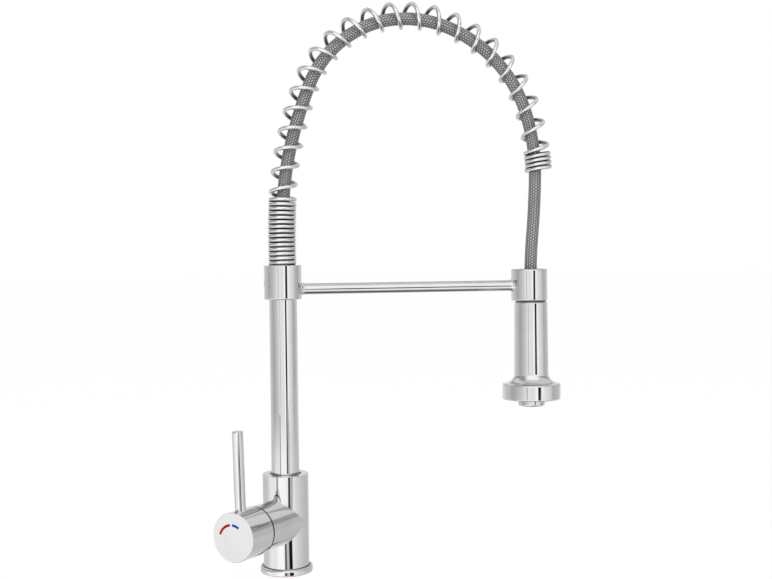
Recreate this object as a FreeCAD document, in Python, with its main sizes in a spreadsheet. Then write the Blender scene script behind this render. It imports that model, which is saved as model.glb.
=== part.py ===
import FreeCAD, Part
import Sketcher
import math
import os
from types import SimpleNamespace

# Spring kitchen faucet: deck flange, column with side lever mixer, swivelling riser,
# horizontal arm with a dock ring, arched spring over a braided hose, pull-down spray head.
# Millimetres. Origin on the deck at the column's axis, +Z up, +X along the arm.

doc = FreeCAD.newDocument("SpringFaucet")
sheet = doc.addObject("Spreadsheet::Sheet", "Sizes")

drivingSizes = [
    # column
    ("flangeRadius", 25.0, "deck flange, outer radius"),
    ("flangeHeight", 6.3, "deck flange, height"),
    ("flangeRound", 2.0, "rounding of the flange's edges"),
    ("gasketWidth", 3.8, "rubber ring, width"),
    ("gasketDepth", 1.6, "rubber ring, thickness"),
    ("bodyRadius", 21.8, "column and side housing, radius"),
    ("bodyTop", 93.7, "top of the column over the deck"),
    ("spigotRadius", 17.0, "foot of the column inside the flange"),
    ("boreFloor", 70.0, "floor of the riser's socket over the deck"),
    ("bushHeight", 4.8, "bearing ring in the column's top, height"),
    ("bushWall", 1.6, "bearing ring, wall"),
    ("inletCore", 4.5, "hose inlet M10x1, core radius"),
    ("inletDepth", 12.0, "hose inlet, depth"),
    ("studCore", 3.4, "fixing stud M8, core radius"),
    ("studDepth", 16.0, "fixing stud, depth"),
    ("studPlace", 10.0, "fixing stud, distance behind the column's axis"),
    ("inletPlace", 6.0, "inlet drillings, distance before the column's axis"),
    # handle direction
    ("handleAngle", -132.25, "plan angle from the arm to the handle, degrees"),
    ("handleHeight", 48.8, "handle axis over the deck"),
    ("housingEnd", 49.7, "front edge of the side housing from the column's axis"),
    ("rimDrop", 0.35, "bevel on that edge, radial"),
    ("rimLength", 0.35, "bevel on that edge, along the axis"),
    # cartridge
    ("cavityFloor", 14.0, "floor of the cartridge bore from the column's axis"),
    ("cartridgeRadius", 17.4, "35 mm cartridge, radius"),
    ("cartridgeWall", 2.7, "cartridge case, wall"),
    ("footThick", 5.7, "cartridge foot, thickness"),
    ("discThick", 4.0, "ceramic discs, thickness"),
    ("movingRadius", 12.4, "moving disc, radius"),
    ("discTravel", 3.7, "moving disc, travel from shut to open"),
    ("carrierThick", 3.2, "disc carrier, thickness"),
    ("pivotPlace", 38.5, "spindle pivot from the column's axis"),
    ("shellTop", 43.4, "front of the cartridge case from the column's axis"),
    ("threadRadius", 19.0, "ring nut M38, radius"),
    ("nutThick", 5.1, "ring nut, thickness"),
    ("spindleWidth", 8.0, "square spindle"),
    ("spindleEnd", 66.0, "end of the spindle from the column's axis"),
    ("pinRadius", 1.5, "pivot pin, radius"),
    ("inletHigh", 3.5, "inlet ports over the handle axis"),
    ("inletApart", 6.9, "inlet ports, distance to either side"),
    ("inletRadius", 2.6, "inlet ports, radius"),
    ("outletLow", 5.0, "outlet port under the handle axis"),
    ("outletRadius", 3.2, "outlet port, radius"),
    # handle
    ("capGap", 0.9, "seam between housing and cap"),
    ("capRadius", 22.5, "handle cap, radius"),
    ("capLength", 31.1, "handle cap, length"),
    ("capWall", 1.4, "handle cap, wall"),
    ("capEdge", 0.5, "handle cap, thickness of its rear edge"),
    ("capFront", 3.0, "handle cap, thickness of the face"),
    ("capBevel", 0.45, "bevel round the face"),
    ("hubRadius", 8.5, "hub inside the cap, radius"),
    ("hubStart", 58.0, "back of the hub from the column's axis"),
    ("leverPlace", 69.2, "lever from the column's axis"),
    ("leverRadius", 5.0, "lever, radius"),
    ("leverLength", 73.0, "lever, length over its seat"),
    ("leverAngle", 2.1, "lean of the lever away from the column, degrees"),
    ("leverRound", 0.9, "rounding of the lever's top"),
    ("leverStud", 2.4, "threaded foot of the lever, radius"),
    # riser, collar, arm
    ("riserRadius", 13.3, "riser tube, radius"),
    ("riserWall", 1.4, "riser tube, wall"),
    ("sealThick", 0.72, "round seals, half thickness"),
    ("collarRadius", 17.9, "arm collar and dock ring, radius"),
    ("collarRound", 1.5, "rounding of the collar's lower edge"),
    ("armHeight", 269.4, "arm's axis over the deck"),
    ("collarDrop", 9.65, "arm collar, from the arm's axis down to its underside"),
    ("collarLength", 32.45, "arm collar, length"),
    ("armRadius", 5.25, "arm, radius"),
    ("armFlare", 1.5, "flare at the arm's roots"),
    ("armPin", 4.0, "pins at the arm's ends, radius"),
    ("screwRadius", 2.45, "M5 grub screws, radius"),
    # dock ring
    ("boreShift", 1.5, "dock ring's bore, further out than the ring's own axis"),
    ("ringDrop", 15.1, "dock ring, from the arm's axis down to its underside"),
    ("ringLength", 31.3, "dock ring, length"),
    ("ringRound", 1.4, "rounding of its edges"),
    ("ringBore", 14.3, "dock ring, bore radius"),
    ("linerWall", 1.4, "plastic liner, wall"),
    ("linerFlange", 1.3, "plastic liner, thickness of the lip"),
    # spring
    ("wireThick", 3.7, "spring wire, diameter"),
    ("coilRadius", 11.75, "spring, radius to the middle of the wire"),
    ("closePitch", 4.25, "close turns, pitch"),
    ("openPitchA", 18.75, "open turns, pitch at the riser"),
    ("openPitchB", 22.3, "open turns, pitch at the head"),
    ("closeRun", 58.0, "close turns on the riser, length"),
    ("closeEnd", 14.0, "close turns at the head, length"),
    ("openingRun", 13.0, "length over which the turns open"),
    ("startAngle", 56.5, "direction of the wire's lower end, degrees"),
    ("straightRun", 36.2, "straight start of the arch"),
    ("bendRatioA", 1.4992, "first bend, radius as a share of the head's reach"),
    ("angleA", 20.9, "first bend, degrees"),
    ("bendRatioB", 0.436, "top bend, radius as a share of the head's reach"),
    ("angleB", 80.9, "top bend, degrees"),
    ("bendRatioC", 0.5389, "far bend, radius as a share of the head's reach"),
    ("angleC", 70.2, "far bend, degrees"),
    ("tailRun", 34.0, "straight end of the arch"),
    # hose
    ("hoseRadius", 6.2, "hose, radius"),
    ("hoseBore", 4.0, "hose, bore radius"),
    ("hoseShift", 2.9, "hose lies this far inside the arch's middle"),
    ("hoseBend", 75.0, "bends of the hose under the spring, radius"),
    ("ferruleLength", 19.0, "crimped sleeves, length"),
    # spray head
    ("headReach", 246.8, "spray head's axis from the riser"),
    ("headGap", 0.35, "gap between the head and the liner's lip"),
    ("headTopRadius", 16.5, "spray head, radius at the top"),
    ("waistRadius", 17.15, "spray head, radius above the flare"),
    ("shankLength", 80.65, "spray head, from its top down to the flared disc"),
    ("shankCeiling", 6.6, "spray head, thickness of its top"),
    ("discHeight", 15.7, "flared disc, height"),
    ("discRadius", 28.8, "flared disc, radius"),
    ("neckRadius", 12.4, "neck in the dock ring, radius"),
    ("neckBore", 7.8, "neck, bore radius"),
    ("shellWall", 2.6, "spray head shell, wall"),
    ("tubeRadius", 10.4, "inner water tube, radius"),
    ("nozzleRadius", 12.95, "outlet, radius"),
    ("nozzleDrop", 6.9, "outlet, from the disc's underside down"),
    ("nozzleRound", 2.0, "rounding of the outlet's lower edge"),
]


class Dim:
    # A length with its value now and the sheet expression that gives it.
    def __init__(self, value, text):
        self.value = value
        self.text = text

    def __add__(self, other):
        other = asDim(other)
        return Dim(self.value + other.value, "(%s + %s)" % (self.text, other.text))

    def __radd__(self, other):
        return asDim(other) + self

    def __sub__(self, other):
        other = asDim(other)
        return Dim(self.value - other.value, "(%s - %s)" % (self.text, other.text))

    def __rsub__(self, other):
        return asDim(other) - self

    def __mul__(self, other):
        other = asDim(other)
        return Dim(self.value * other.value, "(%s * %s)" % (self.text, other.text))

    def __rmul__(self, other):
        return asDim(other) * self

    def __neg__(self):
        return Dim(-self.value, "(-%s)" % self.text)


def asDim(number):
    if isinstance(number, Dim):
        return number
    return Dim(float(number), "%g" % number)


d = SimpleNamespace()
for row, (alias, number, note) in enumerate(drivingSizes, start=1):
    sheet.set("A%d" % row, note)
    sheet.set("B%d" % row, "%g" % number)
    sheet.setAlias("B%d" % row, alias)
    setattr(d, alias, Dim(number, "Sizes.%s" % alias))
doc.recompute()

# Heights and places that follow from the arm and the head

collarBottom = d.armHeight - d.collarDrop
collarTop = collarBottom + d.collarLength
ringCentre = d.headReach - d.boreShift
ringBottom = d.armHeight - d.ringDrop
ringTop = ringBottom + d.ringLength
headTop = ringBottom - d.linerFlange - d.headGap
discTop = headTop - d.shankLength
discBottom = discTop - d.discHeight
nozzleBottom = discBottom - d.nozzleDrop
bendA = d.headReach * d.bendRatioA
bendB = d.headReach * d.bendRatioB
bendC = d.headReach * d.bendRatioC

pieces = []
vector = FreeCAD.Vector


def named(obj, label, place=None):
    obj.Label = label
    if place:
        obj.setExpression("Placement", place)
    pieces.append(obj)
    return obj


def bind(obj, prop, dim):
    obj.setExpression(prop, asDim(dim).text)


def originPlane(body, role):
    for feature in body.Origin.OriginFeatures:
        if feature.Role == role:
            return feature
    raise RuntimeError("no plane " + role)


def newBody(label, place=None):
    return named(doc.addObject("PartDesign::Body", label), label, place)


def newSketch(body, role, name, offset=None):
    sketch = body.newObject("Sketcher::SketchObject", body.Name + "_" + name)
    sketch.AttachmentSupport = [(originPlane(body, role), "")]
    sketch.MapMode = "FlatFace"
    if offset is not None:
        bind(sketch, "AttachmentOffset.Base.z", offset)
    return sketch


def hold(sketch, geometry, spot, across, up):
    for kind, dim in (("DistanceX", asDim(across)), ("DistanceY", asDim(up))):
        held = sketch.addConstraint(
            Sketcher.Constraint(kind, -1, 1, geometry, spot, dim.value)
        )
        sketch.setExpression("Constraints[%d]" % held, dim.text)


def drawPolygon(sketch, corners):
    points = [vector(asDim(a).value, asDim(b).value, 0) for a, b in corners]
    first = sketch.GeometryCount
    count = len(points)
    for i in range(count):
        sketch.addGeometry(Part.LineSegment(points[i], points[(i + 1) % count]), False)
    for i in range(count):
        after = first + (i + 1) % count
        sketch.addConstraint(Sketcher.Constraint("Coincident", first + i, 2, after, 1))
    for i, (a, b) in enumerate(corners):
        hold(sketch, first + i, 1, a, b)
    return first


def drawCircle(sketch, across, up, radius):
    across, up, radius = asDim(across), asDim(up), asDim(radius)
    centre = vector(across.value, up.value, 0)
    circle = Part.Circle(centre, vector(0, 0, 1), radius.value)
    made = sketch.addGeometry(circle, False)
    hold(sketch, made, 3, across, up)
    held = sketch.addConstraint(Sketcher.Constraint("Radius", made, radius.value))
    sketch.setExpression("Constraints[%d]" % held, radius.text)
    return made


def drawSquare(sketch, across, up, halfWide, halfHigh):
    across, up = asDim(across), asDim(up)
    corners = [
        (across - halfWide, up - halfHigh),
        (across + halfWide, up - halfHigh),
        (across + halfWide, up + halfHigh),
        (across - halfWide, up + halfHigh),
    ]
    return drawPolygon(sketch, corners)


def settle(body, feature, sign):
    # Recomputes and makes sure that the feature added or took away material.
    before = body.Shape.Volume if not body.Shape.isNull() else 0.0
    doc.recompute()
    change = body.Shape.Volume - before
    if change * sign <= 1e-6:
        raise RuntimeError("%s changed the volume by %.4f" % (feature.Name, change))
    return feature


def turned(body, corners, name="turned"):
    sketch = newSketch(body, "XZ_Plane", name + "Profile")
    drawPolygon(sketch, corners)
    feature = body.newObject("PartDesign::Revolution", body.Name + "_" + name)
    feature.Profile = sketch
    feature.ReferenceAxis = (sketch, ["V_Axis"])
    feature.Angle = 360.0
    return settle(body, feature, 1)


def bored(body, corners, name="bored"):
    sketch = newSketch(body, "XZ_Plane", name + "Profile")
    drawPolygon(sketch, corners)
    feature = body.newObject("PartDesign::Groove", body.Name + "_" + name)
    feature.Profile = sketch
    feature.ReferenceAxis = (sketch, ["V_Axis"])
    feature.Angle = 360.0
    return settle(body, feature, -1)


def padded(body, sketch, length, name):
    feature = body.newObject("PartDesign::Pad", body.Name + "_" + name)
    feature.Profile = sketch
    bind(feature, "Length", length)
    return settle(body, feature, 1)


def pocketed(body, sketch, length, name, outward=True):
    # A pocket runs against its sketch's normal unless it is turned round.
    feature = body.newObject("PartDesign::Pocket", body.Name + "_" + name)
    feature.Profile = sketch
    feature.Reversed = outward
    bind(feature, "Length", length)
    return settle(body, feature, -1)


def circlesAt(shape, spots):
    # Names of the round edges about the local Z axis at the given radius and height.
    found = []
    for number, edge in enumerate(shape.Edges, start=1):
        if not hasattr(edge.Curve, "Radius"):
            continue
        for radius, height in spots:
            same = abs(edge.Curve.Radius - asDim(radius).value) < 1e-3
            if same and abs(edge.Curve.Center.z - asDim(height).value) < 1e-3:
                found.append("Edge%d" % number)
    if len(found) < len(spots):
        raise RuntimeError("an edge to round was not found")
    return found


def rounded(body, base, spots, radius, name="rounded"):
    feature = body.newObject("PartDesign::Fillet", body.Name + "_" + name)
    feature.Base = (base, circlesAt(base.Shape, spots))
    bind(feature, "Radius", radius)
    doc.recompute()
    return feature


def bevelled(body, base, spots, width, name="bevelled"):
    feature = body.newObject("PartDesign::Chamfer", body.Name + "_" + name)
    feature.Base = (base, circlesAt(base.Shape, spots))
    bind(feature, "Size", width)
    doc.recompute()
    return feature


def patterned(body, feature, count, name, axis="Z_Axis"):
    pattern = body.newObject("PartDesign::PolarPattern", body.Name + "_" + name)
    pattern.Originals = [feature]
    pattern.Axis = (originPlane(body, axis), [""])
    pattern.Angle = 360.0
    pattern.Occurrences = count
    body.Tip = pattern
    return settle(body, pattern, -1)


def ring(label, inner, outer, low, high, place=None):
    body = newBody(label, place)
    turned(body, [(inner, low), (outer, low), (outer, high), (inner, high)])
    return body


def torus(name, big, small, place):
    made = doc.addObject("Part::Torus", name)
    bind(made, "Radius1", big)
    bind(made, "Radius2", small)
    made.setExpression("Placement", place)
    return made


def vectorText(across, along, up):
    texts = tuple(asDim(v).text for v in (across, along, up))
    return "vector(%s; %s; %s)" % texts


def upright(across=0, along=0, up=0):
    return "placement(%s; rotation(0; 0; 0))" % vectorText(across, along, up)


def onHandle(across=0, along=0, up=0):
    # Local Z runs out along the handle axis and local X stands up.
    base = "placement(vector(0; 0; Sizes.handleHeight); rotation(Sizes.handleAngle; -90; 180))"
    return "%s * placement(%s; rotation(0; 0; 0))" % (base, vectorText(across, along, up))


columnPlace = "placement(vector(0; 0; 0); rotation(Sizes.handleAngle; 0; 0))"
handlePlace = onHandle()
headPlace = upright(d.headReach)

# Deck flange and its rubber ring

gasketOuter = d.flangeRadius - 2.6
gasketInner = gasketOuter - d.gasketWidth
flangeBore = d.spigotRadius + 0.1
baseRing = newBody("base_ring")
flange = turned(
    baseRing,
    [
        (flangeBore, 0),
        (gasketInner - 0.1, 0),
        (gasketInner - 0.1, d.gasketDepth),
        (gasketOuter + 0.1, d.gasketDepth),
        (gasketOuter + 0.1, 0),
        (d.flangeRadius, 0),
        (d.flangeRadius, d.flangeHeight),
        (flangeBore, d.flangeHeight),
    ],
)
flange = rounded(baseRing, flange, [(d.flangeRadius, d.flangeHeight)], d.flangeRound)
rounded(baseRing, flange, [(d.flangeRadius, 0)], d.flangeRound * 0.6, "lowerRound")
ring("base_gasket", gasketInner, gasketOuter, 0, d.gasketDepth)

# Column: turned body with a side housing of the same radius, then its bores.
# Its own X axis points along the handle.

spigotFoot = 0.0
riserBore = d.riserRadius + 0.1
bushSeat = d.bodyTop - d.bushHeight
mixerBody = newBody("mixer_body", columnPlace)
turned(
    mixerBody,
    [
        (0, spigotFoot),
        (d.spigotRadius, spigotFoot),
        (d.spigotRadius, d.flangeHeight),
        (d.bodyRadius, d.flangeHeight),
        (d.bodyRadius, d.bodyTop - 0.4),
        (d.bodyRadius - 0.4, d.bodyTop),
        (0, d.bodyTop),
    ],
    "column",
)


def turnedAcross(body, corners, kind, name, sign):
    # Turns a profile about the horizontal handle axis; corners are (along, off the axis).
    sketch = newSketch(body, "XZ_Plane", name + "Profile")
    raised = [(along, d.handleHeight + off) for along, off in corners]
    drawPolygon(sketch, raised)
    near = vector(asDim(raised[0][0]).value, d.handleHeight.value, 0)
    far = vector(asDim(raised[-1][0]).value, d.handleHeight.value, 0)
    line = sketch.addGeometry(Part.LineSegment(near, far), True)
    hold(sketch, line, 1, raised[0][0], d.handleHeight)
    hold(sketch, line, 2, raised[-1][0], d.handleHeight)
    feature = body.newObject(kind, body.Name + "_" + name)
    feature.Profile = sketch
    feature.ReferenceAxis = (sketch, ["Axis0"])
    feature.Angle = 360.0
    return settle(body, feature, sign)


turnedAcross(
    mixerBody,
    [
        (0, 0),
        (0, d.bodyRadius),
        (d.housingEnd - d.rimLength, d.bodyRadius),
        (d.housingEnd, d.bodyRadius - d.rimDrop),
        (d.housingEnd, 0),
    ],
    "PartDesign::Revolution",
    "housing",
    1,
)
turnedAcross(
    mixerBody,
    [
        (d.cavityFloor, 0),
        (d.cavityFloor, d.cartridgeRadius + 0.25),
        (d.shellTop, d.cartridgeRadius + 0.25),
        (d.shellTop, d.threadRadius),
        (d.housingEnd + 1, d.threadRadius),
        (d.housingEnd + 1, 0),
    ],
    "PartDesign::Groove",
    "cavity",
    -1,
)
outletHeight = d.handleHeight - d.outletLow
inletHeight = d.handleHeight + d.inletHigh
bored(
    mixerBody,
    [
        (0, outletHeight),
        (4.5, outletHeight),
        (4.5, d.boreFloor),
        (riserBore, d.boreFloor),
        (riserBore, bushSeat),
        (riserBore + d.bushWall, bushSeat),
        (riserBore + d.bushWall, d.bodyTop + 1),
        (0, d.bodyTop + 1),
    ],
    "riserSocket",
)
outletSketch = newSketch(mixerBody, "YZ_Plane", "outletCircle")
drawCircle(outletSketch, 0, outletHeight, d.outletRadius)
pocketed(mixerBody, outletSketch, d.cavityFloor + 0.5, "outlet")
crossSketch = newSketch(mixerBody, "YZ_Plane", "crossCircles", d.inletPlace)
uprightSketch = newSketch(mixerBody, "XY_Plane", "uprightCircles")
socketSketch = newSketch(mixerBody, "XY_Plane", "inletCircles")
for side in (-1, 1):
    drawCircle(crossSketch, side * d.inletApart, inletHeight, d.inletRadius)
    drawCircle(uprightSketch, d.inletPlace, side * d.inletApart, d.inletRadius)
    drawCircle(socketSketch, d.inletPlace, side * d.inletApart, d.inletCore)
pocketed(mixerBody, crossSketch, d.cavityFloor - d.inletPlace + 0.5, "crossDrillings")
pocketed(mixerBody, uprightSketch, inletHeight, "uprightDrillings")
pocketed(mixerBody, socketSketch, d.inletDepth + spigotFoot, "inletSockets")
studSketch = newSketch(mixerBody, "XY_Plane", "studCircle")
drawCircle(studSketch, -d.studPlace, 0, d.studCore)
pocketed(mixerBody, studSketch, d.studDepth + spigotFoot, "studSocket")
lockHeight = bushSeat - 2.9
lockSketch = newSketch(mixerBody, "YZ_Plane", "lockCircle")
drawCircle(lockSketch, 0, lockHeight, d.screwRadius + 0.05)
pocketed(mixerBody, lockSketch, d.bodyRadius + 1, "lockHole", False)

ring(
    "swivel_bush",
    riserBore - 0.03,
    riserBore + d.bushWall - 0.03,
    bushSeat,
    d.bodyTop - 0.2,
)


def grubScrew(label, length, tipLength, place):
    # M5 grub screw along local Z with a hexagon socket at its upper end.
    body = newBody(label, place)
    tip = d.screwRadius * 0.86
    turned(
        body,
        [
            (0, -tipLength),
            (tip, -tipLength),
            (tip, 0),
            (d.screwRadius, 0),
            (d.screwRadius, length),
            (0, length),
        ],
    )
    sketch = newSketch(body, "XY_Plane", "socketHexagon", asDim(length) - 2)
    corners = []
    for i in range(6):
        turn = math.radians(60 * i)
        corners.append((1.45 * math.cos(turn), 1.45 * math.sin(turn)))
    drawPolygon(sketch, corners)
    pocketed(body, sketch, 3, "socket")
    return body


lockStart = d.riserRadius + 0.6
lockPlace = columnPlace + " * placement(%s; rotation(0; -90; 0))" % vectorText(-lockStart, 0, lockHeight)
grubScrew("lock_screw", d.bodyRadius - 0.5 - lockStart, 1.9, lockPlace)

# Mixing cartridge

footStart = d.cavityFloor + 0.3
shellStart = footStart + d.footThick
innerRadius = d.cartridgeRadius - d.cartridgeWall
ports = [
    (d.inletHigh, d.inletApart, d.inletRadius),
    (d.inletHigh, -d.inletApart, d.inletRadius),
    (-d.outletLow, 0, d.outletRadius),
]
cartridgeBase = newBody("cartridge_base", handlePlace)
turned(
    cartridgeBase,
    [
        (0, footStart),
        (d.cartridgeRadius, footStart),
        (d.cartridgeRadius, shellStart),
        (0, shellStart),
    ],
)
portSketch = newSketch(cartridgeBase, "XY_Plane", "portCircles", footStart)
recessSketch = newSketch(cartridgeBase, "XY_Plane", "recessCircles", footStart)
for across, along, radius in ports:
    drawCircle(portSketch, across, along, radius)
    drawCircle(recessSketch, across, along, radius + 1.9)
pocketed(cartridgeBase, portSketch, d.footThick + 0.5, "ports")
pocketed(cartridgeBase, recessSketch, 1.5, "recesses")

sealRings = []
for number, (across, along, radius) in enumerate(ports, start=1):
    middle = onHandle(across, along, d.cavityFloor + 0.9)
    sealRings.append(torus("portSeal%d" % number, radius + 0.95, 0.9, middle))
portSeals = named(doc.addObject("Part::Compound", "cartridge_port_seals"), "cartridge_port_seals")
portSeals.Links = sealRings

fixedDisc = newBody("fixed_disc", handlePlace)
fixedTop = shellStart + d.discThick
turned(
    fixedDisc,
    [
        (0, shellStart),
        (innerRadius - 0.1, shellStart),
        (innerRadius - 0.1, fixedTop),
        (0, fixedTop),
    ],
)
discPorts = newSketch(fixedDisc, "XY_Plane", "portCircles", shellStart)
for across, along, radius in ports:
    drawCircle(discPorts, across, along, radius)
pocketed(fixedDisc, discPorts, d.discThick + 0.5, "ports")

# The moving disc stands half its travel low when shut and half its travel high when open.

shutShift = d.discTravel * -0.5
movingStart = fixedTop + 0.1
movingTop = movingStart + d.discThick
movingDisc = newBody("moving_disc", onHandle(shutShift))
turned(
    movingDisc,
    [
        (0, movingStart),
        (d.movingRadius, movingStart),
        (d.movingRadius, movingTop),
        (0, movingTop),
    ],
)
chamberSketch = newSketch(movingDisc, "XY_Plane", "chamberCircle", movingStart)
drawCircle(chamberSketch, d.discTravel * -0.46, 0, d.outletRadius + 2.4)
pocketed(movingDisc, chamberSketch, d.discThick * 0.5, "chamber")

carrierTop = movingTop + d.carrierThick
discCarrier = newBody("disc_carrier", onHandle(shutShift))
turned(
    discCarrier,
    [
        (0, movingTop),
        (d.movingRadius - 0.4, movingTop),
        (d.movingRadius - 0.4, carrierTop),
        (0, carrierTop),
    ],
)
socket = newSketch(discCarrier, "XY_Plane", "socketCircle", movingTop)
drawCircle(socket, -shutShift, 0, 3.1)
pocketed(discCarrier, socket, d.carrierThick + 0.5, "socket")

guideStart = carrierTop + 0.6
guideShoulder = d.shellTop - 2.1
spindleGuide = newBody("spindle_guide", handlePlace)
turned(
    spindleGuide,
    [
        (0, guideStart),
        (innerRadius - 0.3, guideStart),
        (innerRadius - 0.3, guideShoulder),
        (10.6, guideShoulder),
        (10.6, d.shellTop + 1.6),
        (0, d.shellTop + 1.6),
    ],
)
slot = newSketch(spindleGuide, "XY_Plane", "slotSquare", guideStart)
drawSquare(slot, 0, 0, 9.5, d.spindleWidth * 0.5 + 0.3)
pocketed(spindleGuide, slot, d.shellTop - guideStart + 3, "slot")
guidePin = newSketch(spindleGuide, "XZ_Plane", "pinCircle")
drawCircle(guidePin, 0, d.pivotPlace, d.pinRadius + 0.02)
guideHole = pocketed(spindleGuide, guidePin, d.cartridgeRadius * 2.2, "pinHole")
guideHole.Midplane = True
doc.recompute()

pivotPin = named(doc.addObject("Part::Cylinder", "pivot_pin"), "pivot_pin")
pinHalf = innerRadius - 1.9
bind(pivotPin, "Radius", d.pinRadius)
bind(pivotPin, "Height", pinHalf * 2)
pinSpot = vectorText(0, -pinHalf, d.pivotPlace)
pivotPin.setExpression(
    "Placement", "%s * placement(%s; rotation(0; 0; -90))" % (handlePlace, pinSpot)
)

leverSpindle = newBody("lever_spindle", handlePlace)
footLow = movingTop + 0.4
turned(
    leverSpindle,
    [
        (0, footLow),
        (2.0, footLow),
        (2.7, footLow + 1.3),
        (2.0, footLow + 2.6),
        (1.9, footLow + 3.0),
        (1.9, guideStart + 1.6),
        (0, guideStart + 1.6),
    ],
)
spindleSketch = newSketch(leverSpindle, "XY_Plane", "spindleSquare", guideStart + 1.4)
halfSpindle = d.spindleWidth * 0.5
drawSquare(spindleSketch, 0, 0, halfSpindle, halfSpindle)
padded(leverSpindle, spindleSketch, d.spindleEnd - guideStart - 1.4, "spindle")
spindlePin = newSketch(leverSpindle, "XZ_Plane", "pinCircle")
drawCircle(spindlePin, 0, d.pivotPlace, d.pinRadius + 0.04)
spindleHole = pocketed(leverSpindle, spindlePin, 20, "pinHole")
spindleHole.Midplane = True
doc.recompute()

cartridgeShell = newBody("cartridge_shell", handlePlace)
turned(
    cartridgeShell,
    [
        (innerRadius, shellStart),
        (d.cartridgeRadius, shellStart),
        (d.cartridgeRadius, d.shellTop),
        (11.0, d.shellTop),
        (11.0, guideShoulder + 0.3),
        (innerRadius, guideShoulder + 0.3),
    ],
)

cartridgeNut = newBody("cartridge_nut", handlePlace)
nutStart = d.shellTop + 0.05
turned(
    cartridgeNut,
    [
        (12.8, nutStart),
        (d.threadRadius - 0.1, nutStart),
        (d.threadRadius - 0.1, nutStart + d.nutThick),
        (12.8, nutStart + d.nutThick),
    ],
)
notch = newSketch(cartridgeNut, "XY_Plane", "notchSquare", nutStart + d.nutThick - 2)
drawSquare(notch, d.threadRadius - 2, 0, 3, 1.8)
notchCut = pocketed(cartridgeNut, notch, 4, "notch")
patterned(cartridgeNut, notchCut, 6, "notches")

# Handle cap, its screw and the lever

capRear = d.housingEnd + d.capGap
capFace = capRear + d.capLength
capInner = d.capRadius - d.capWall
handleCap = newBody("handle_cap", handlePlace)
capTurn = turned(
    handleCap,
    [
        (d.capRadius - d.capEdge, capRear),
        (d.capRadius, capRear),
        (d.capRadius, capFace),
        (0, capFace),
        (0, d.hubStart),
        (d.hubRadius, d.hubStart),
        (d.hubRadius, capFace - d.capFront),
        (capInner, capFace - d.capFront),
        (capInner, capRear + 2),
    ],
)
bevelled(handleCap, capTurn, [(d.capRadius, capFace)], d.capBevel)


def leverSketch(body, name, radius, lift):
    # A circle on the lever's own leaning plane; lift is measured along the lever.
    sketch = body.newObject("Sketcher::SketchObject", body.Name + "_" + name)
    sketch.AttachmentSupport = [(originPlane(body, "YZ_Plane"), "")]
    sketch.MapMode = "FlatFace"
    lean = "rotation(vector(1; 0; 0); -%s)" % d.leverAngle.text
    move = "placement(%s; %s)" % (vectorText(0, d.leverPlace, 0), lean)
    raiseBy = "placement(%s; rotation(0; 0; 0))" % vectorText(0, 0, lift)
    sketch.setExpression("AttachmentOffset", move + " * " + raiseBy)
    drawCircle(sketch, 0, 0, radius)
    return sketch


bossSketch = leverSketch(handleCap, "bossCircle", d.leverRadius + 0.5, 0)
padded(handleCap, bossSketch, capInner + 0.4, "boss")
squareSketch = newSketch(handleCap, "XY_Plane", "squareSocket", d.hubStart - 0.5)
drawSquare(squareSketch, 0, 0, halfSpindle + 0.05, halfSpindle + 0.05)
pocketed(handleCap, squareSketch, d.spindleEnd - d.hubStart + 1, "squareHole")
leverSeat = d.capRadius - d.leverRadius * 0.13
seatSketch = leverSketch(handleCap, "seatCircle", d.leverRadius + 0.05, leverSeat)
pocketed(handleCap, seatSketch, 4, "leverSeat")
studLength = 12.0
threadSketch = leverSketch(handleCap, "threadCircle", d.leverStud + 0.05, leverSeat - studLength - 0.5)
pocketed(handleCap, threadSketch, studLength + 2, "leverThread")
grubPlace = d.hubStart + 4
grubSketch = newSketch(handleCap, "YZ_Plane", "grubCircle")
drawCircle(grubSketch, 0, grubPlace, d.screwRadius + 0.05)
pocketed(handleCap, grubSketch, d.capRadius + 1, "grubHole", False)
grubSpot = vectorText(-halfSpindle - 0.05, 0, grubPlace)
grubScrew(
    "handle_grub_screw",
    d.hubRadius - halfSpindle,
    0.02,
    "%s * placement(%s; rotation(0; -90; 0))" % (handlePlace, grubSpot),
)

leverTurn = "rotation(vector(0; 1; 0); 90 - %s)" % d.leverAngle.text
leverFrame = "placement(%s; %s)" % (vectorText(0, 0, d.leverPlace), leverTurn)
leverPin = newBody("lever_pin", "%s * %s" % (handlePlace, leverFrame))
leverShape = turned(
    leverPin,
    [
        (0, leverSeat - studLength),
        (d.leverStud, leverSeat - studLength),
        (d.leverStud, leverSeat),
        (d.leverRadius, leverSeat),
        (d.leverRadius, leverSeat + d.leverLength),
        (0, leverSeat + d.leverLength),
    ],
)
rounded(leverPin, leverShape, [(d.leverRadius, leverSeat + d.leverLength)], d.leverRound)

# Riser with its foot and seals

riserInner = d.riserRadius - d.riserWall
riserStart = bushSeat + 3.2
footStartZ = d.boreFloor + 0.5
sealGroove = d.sealThick * 1.95
sealHeights = [footStartZ + 3.6, footStartZ + 8.4]
footCorners = [(8.0, footStartZ), (d.riserRadius, footStartZ)]
for height in sealHeights:
    footCorners += [
        (d.riserRadius, height - d.sealThick * 1.2),
        (d.riserRadius - sealGroove, height - d.sealThick * 1.2),
        (d.riserRadius - sealGroove, height + d.sealThick * 1.2),
        (d.riserRadius, height + d.sealThick * 1.2),
    ]
lockHalf = d.screwRadius + 0.25
footCorners += [
    (d.riserRadius, lockHeight - lockHalf),
    (d.riserRadius - 1.7, lockHeight - lockHalf),
    (d.riserRadius - 1.7, lockHeight + lockHalf),
    (d.riserRadius, lockHeight + lockHalf),
    (d.riserRadius, riserStart),
    (riserInner - 0.03, riserStart),
    (riserInner - 0.03, riserStart + 11),
    (8.0, riserStart + 11),
]
turned(newBody("riser_foot"), footCorners)

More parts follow.
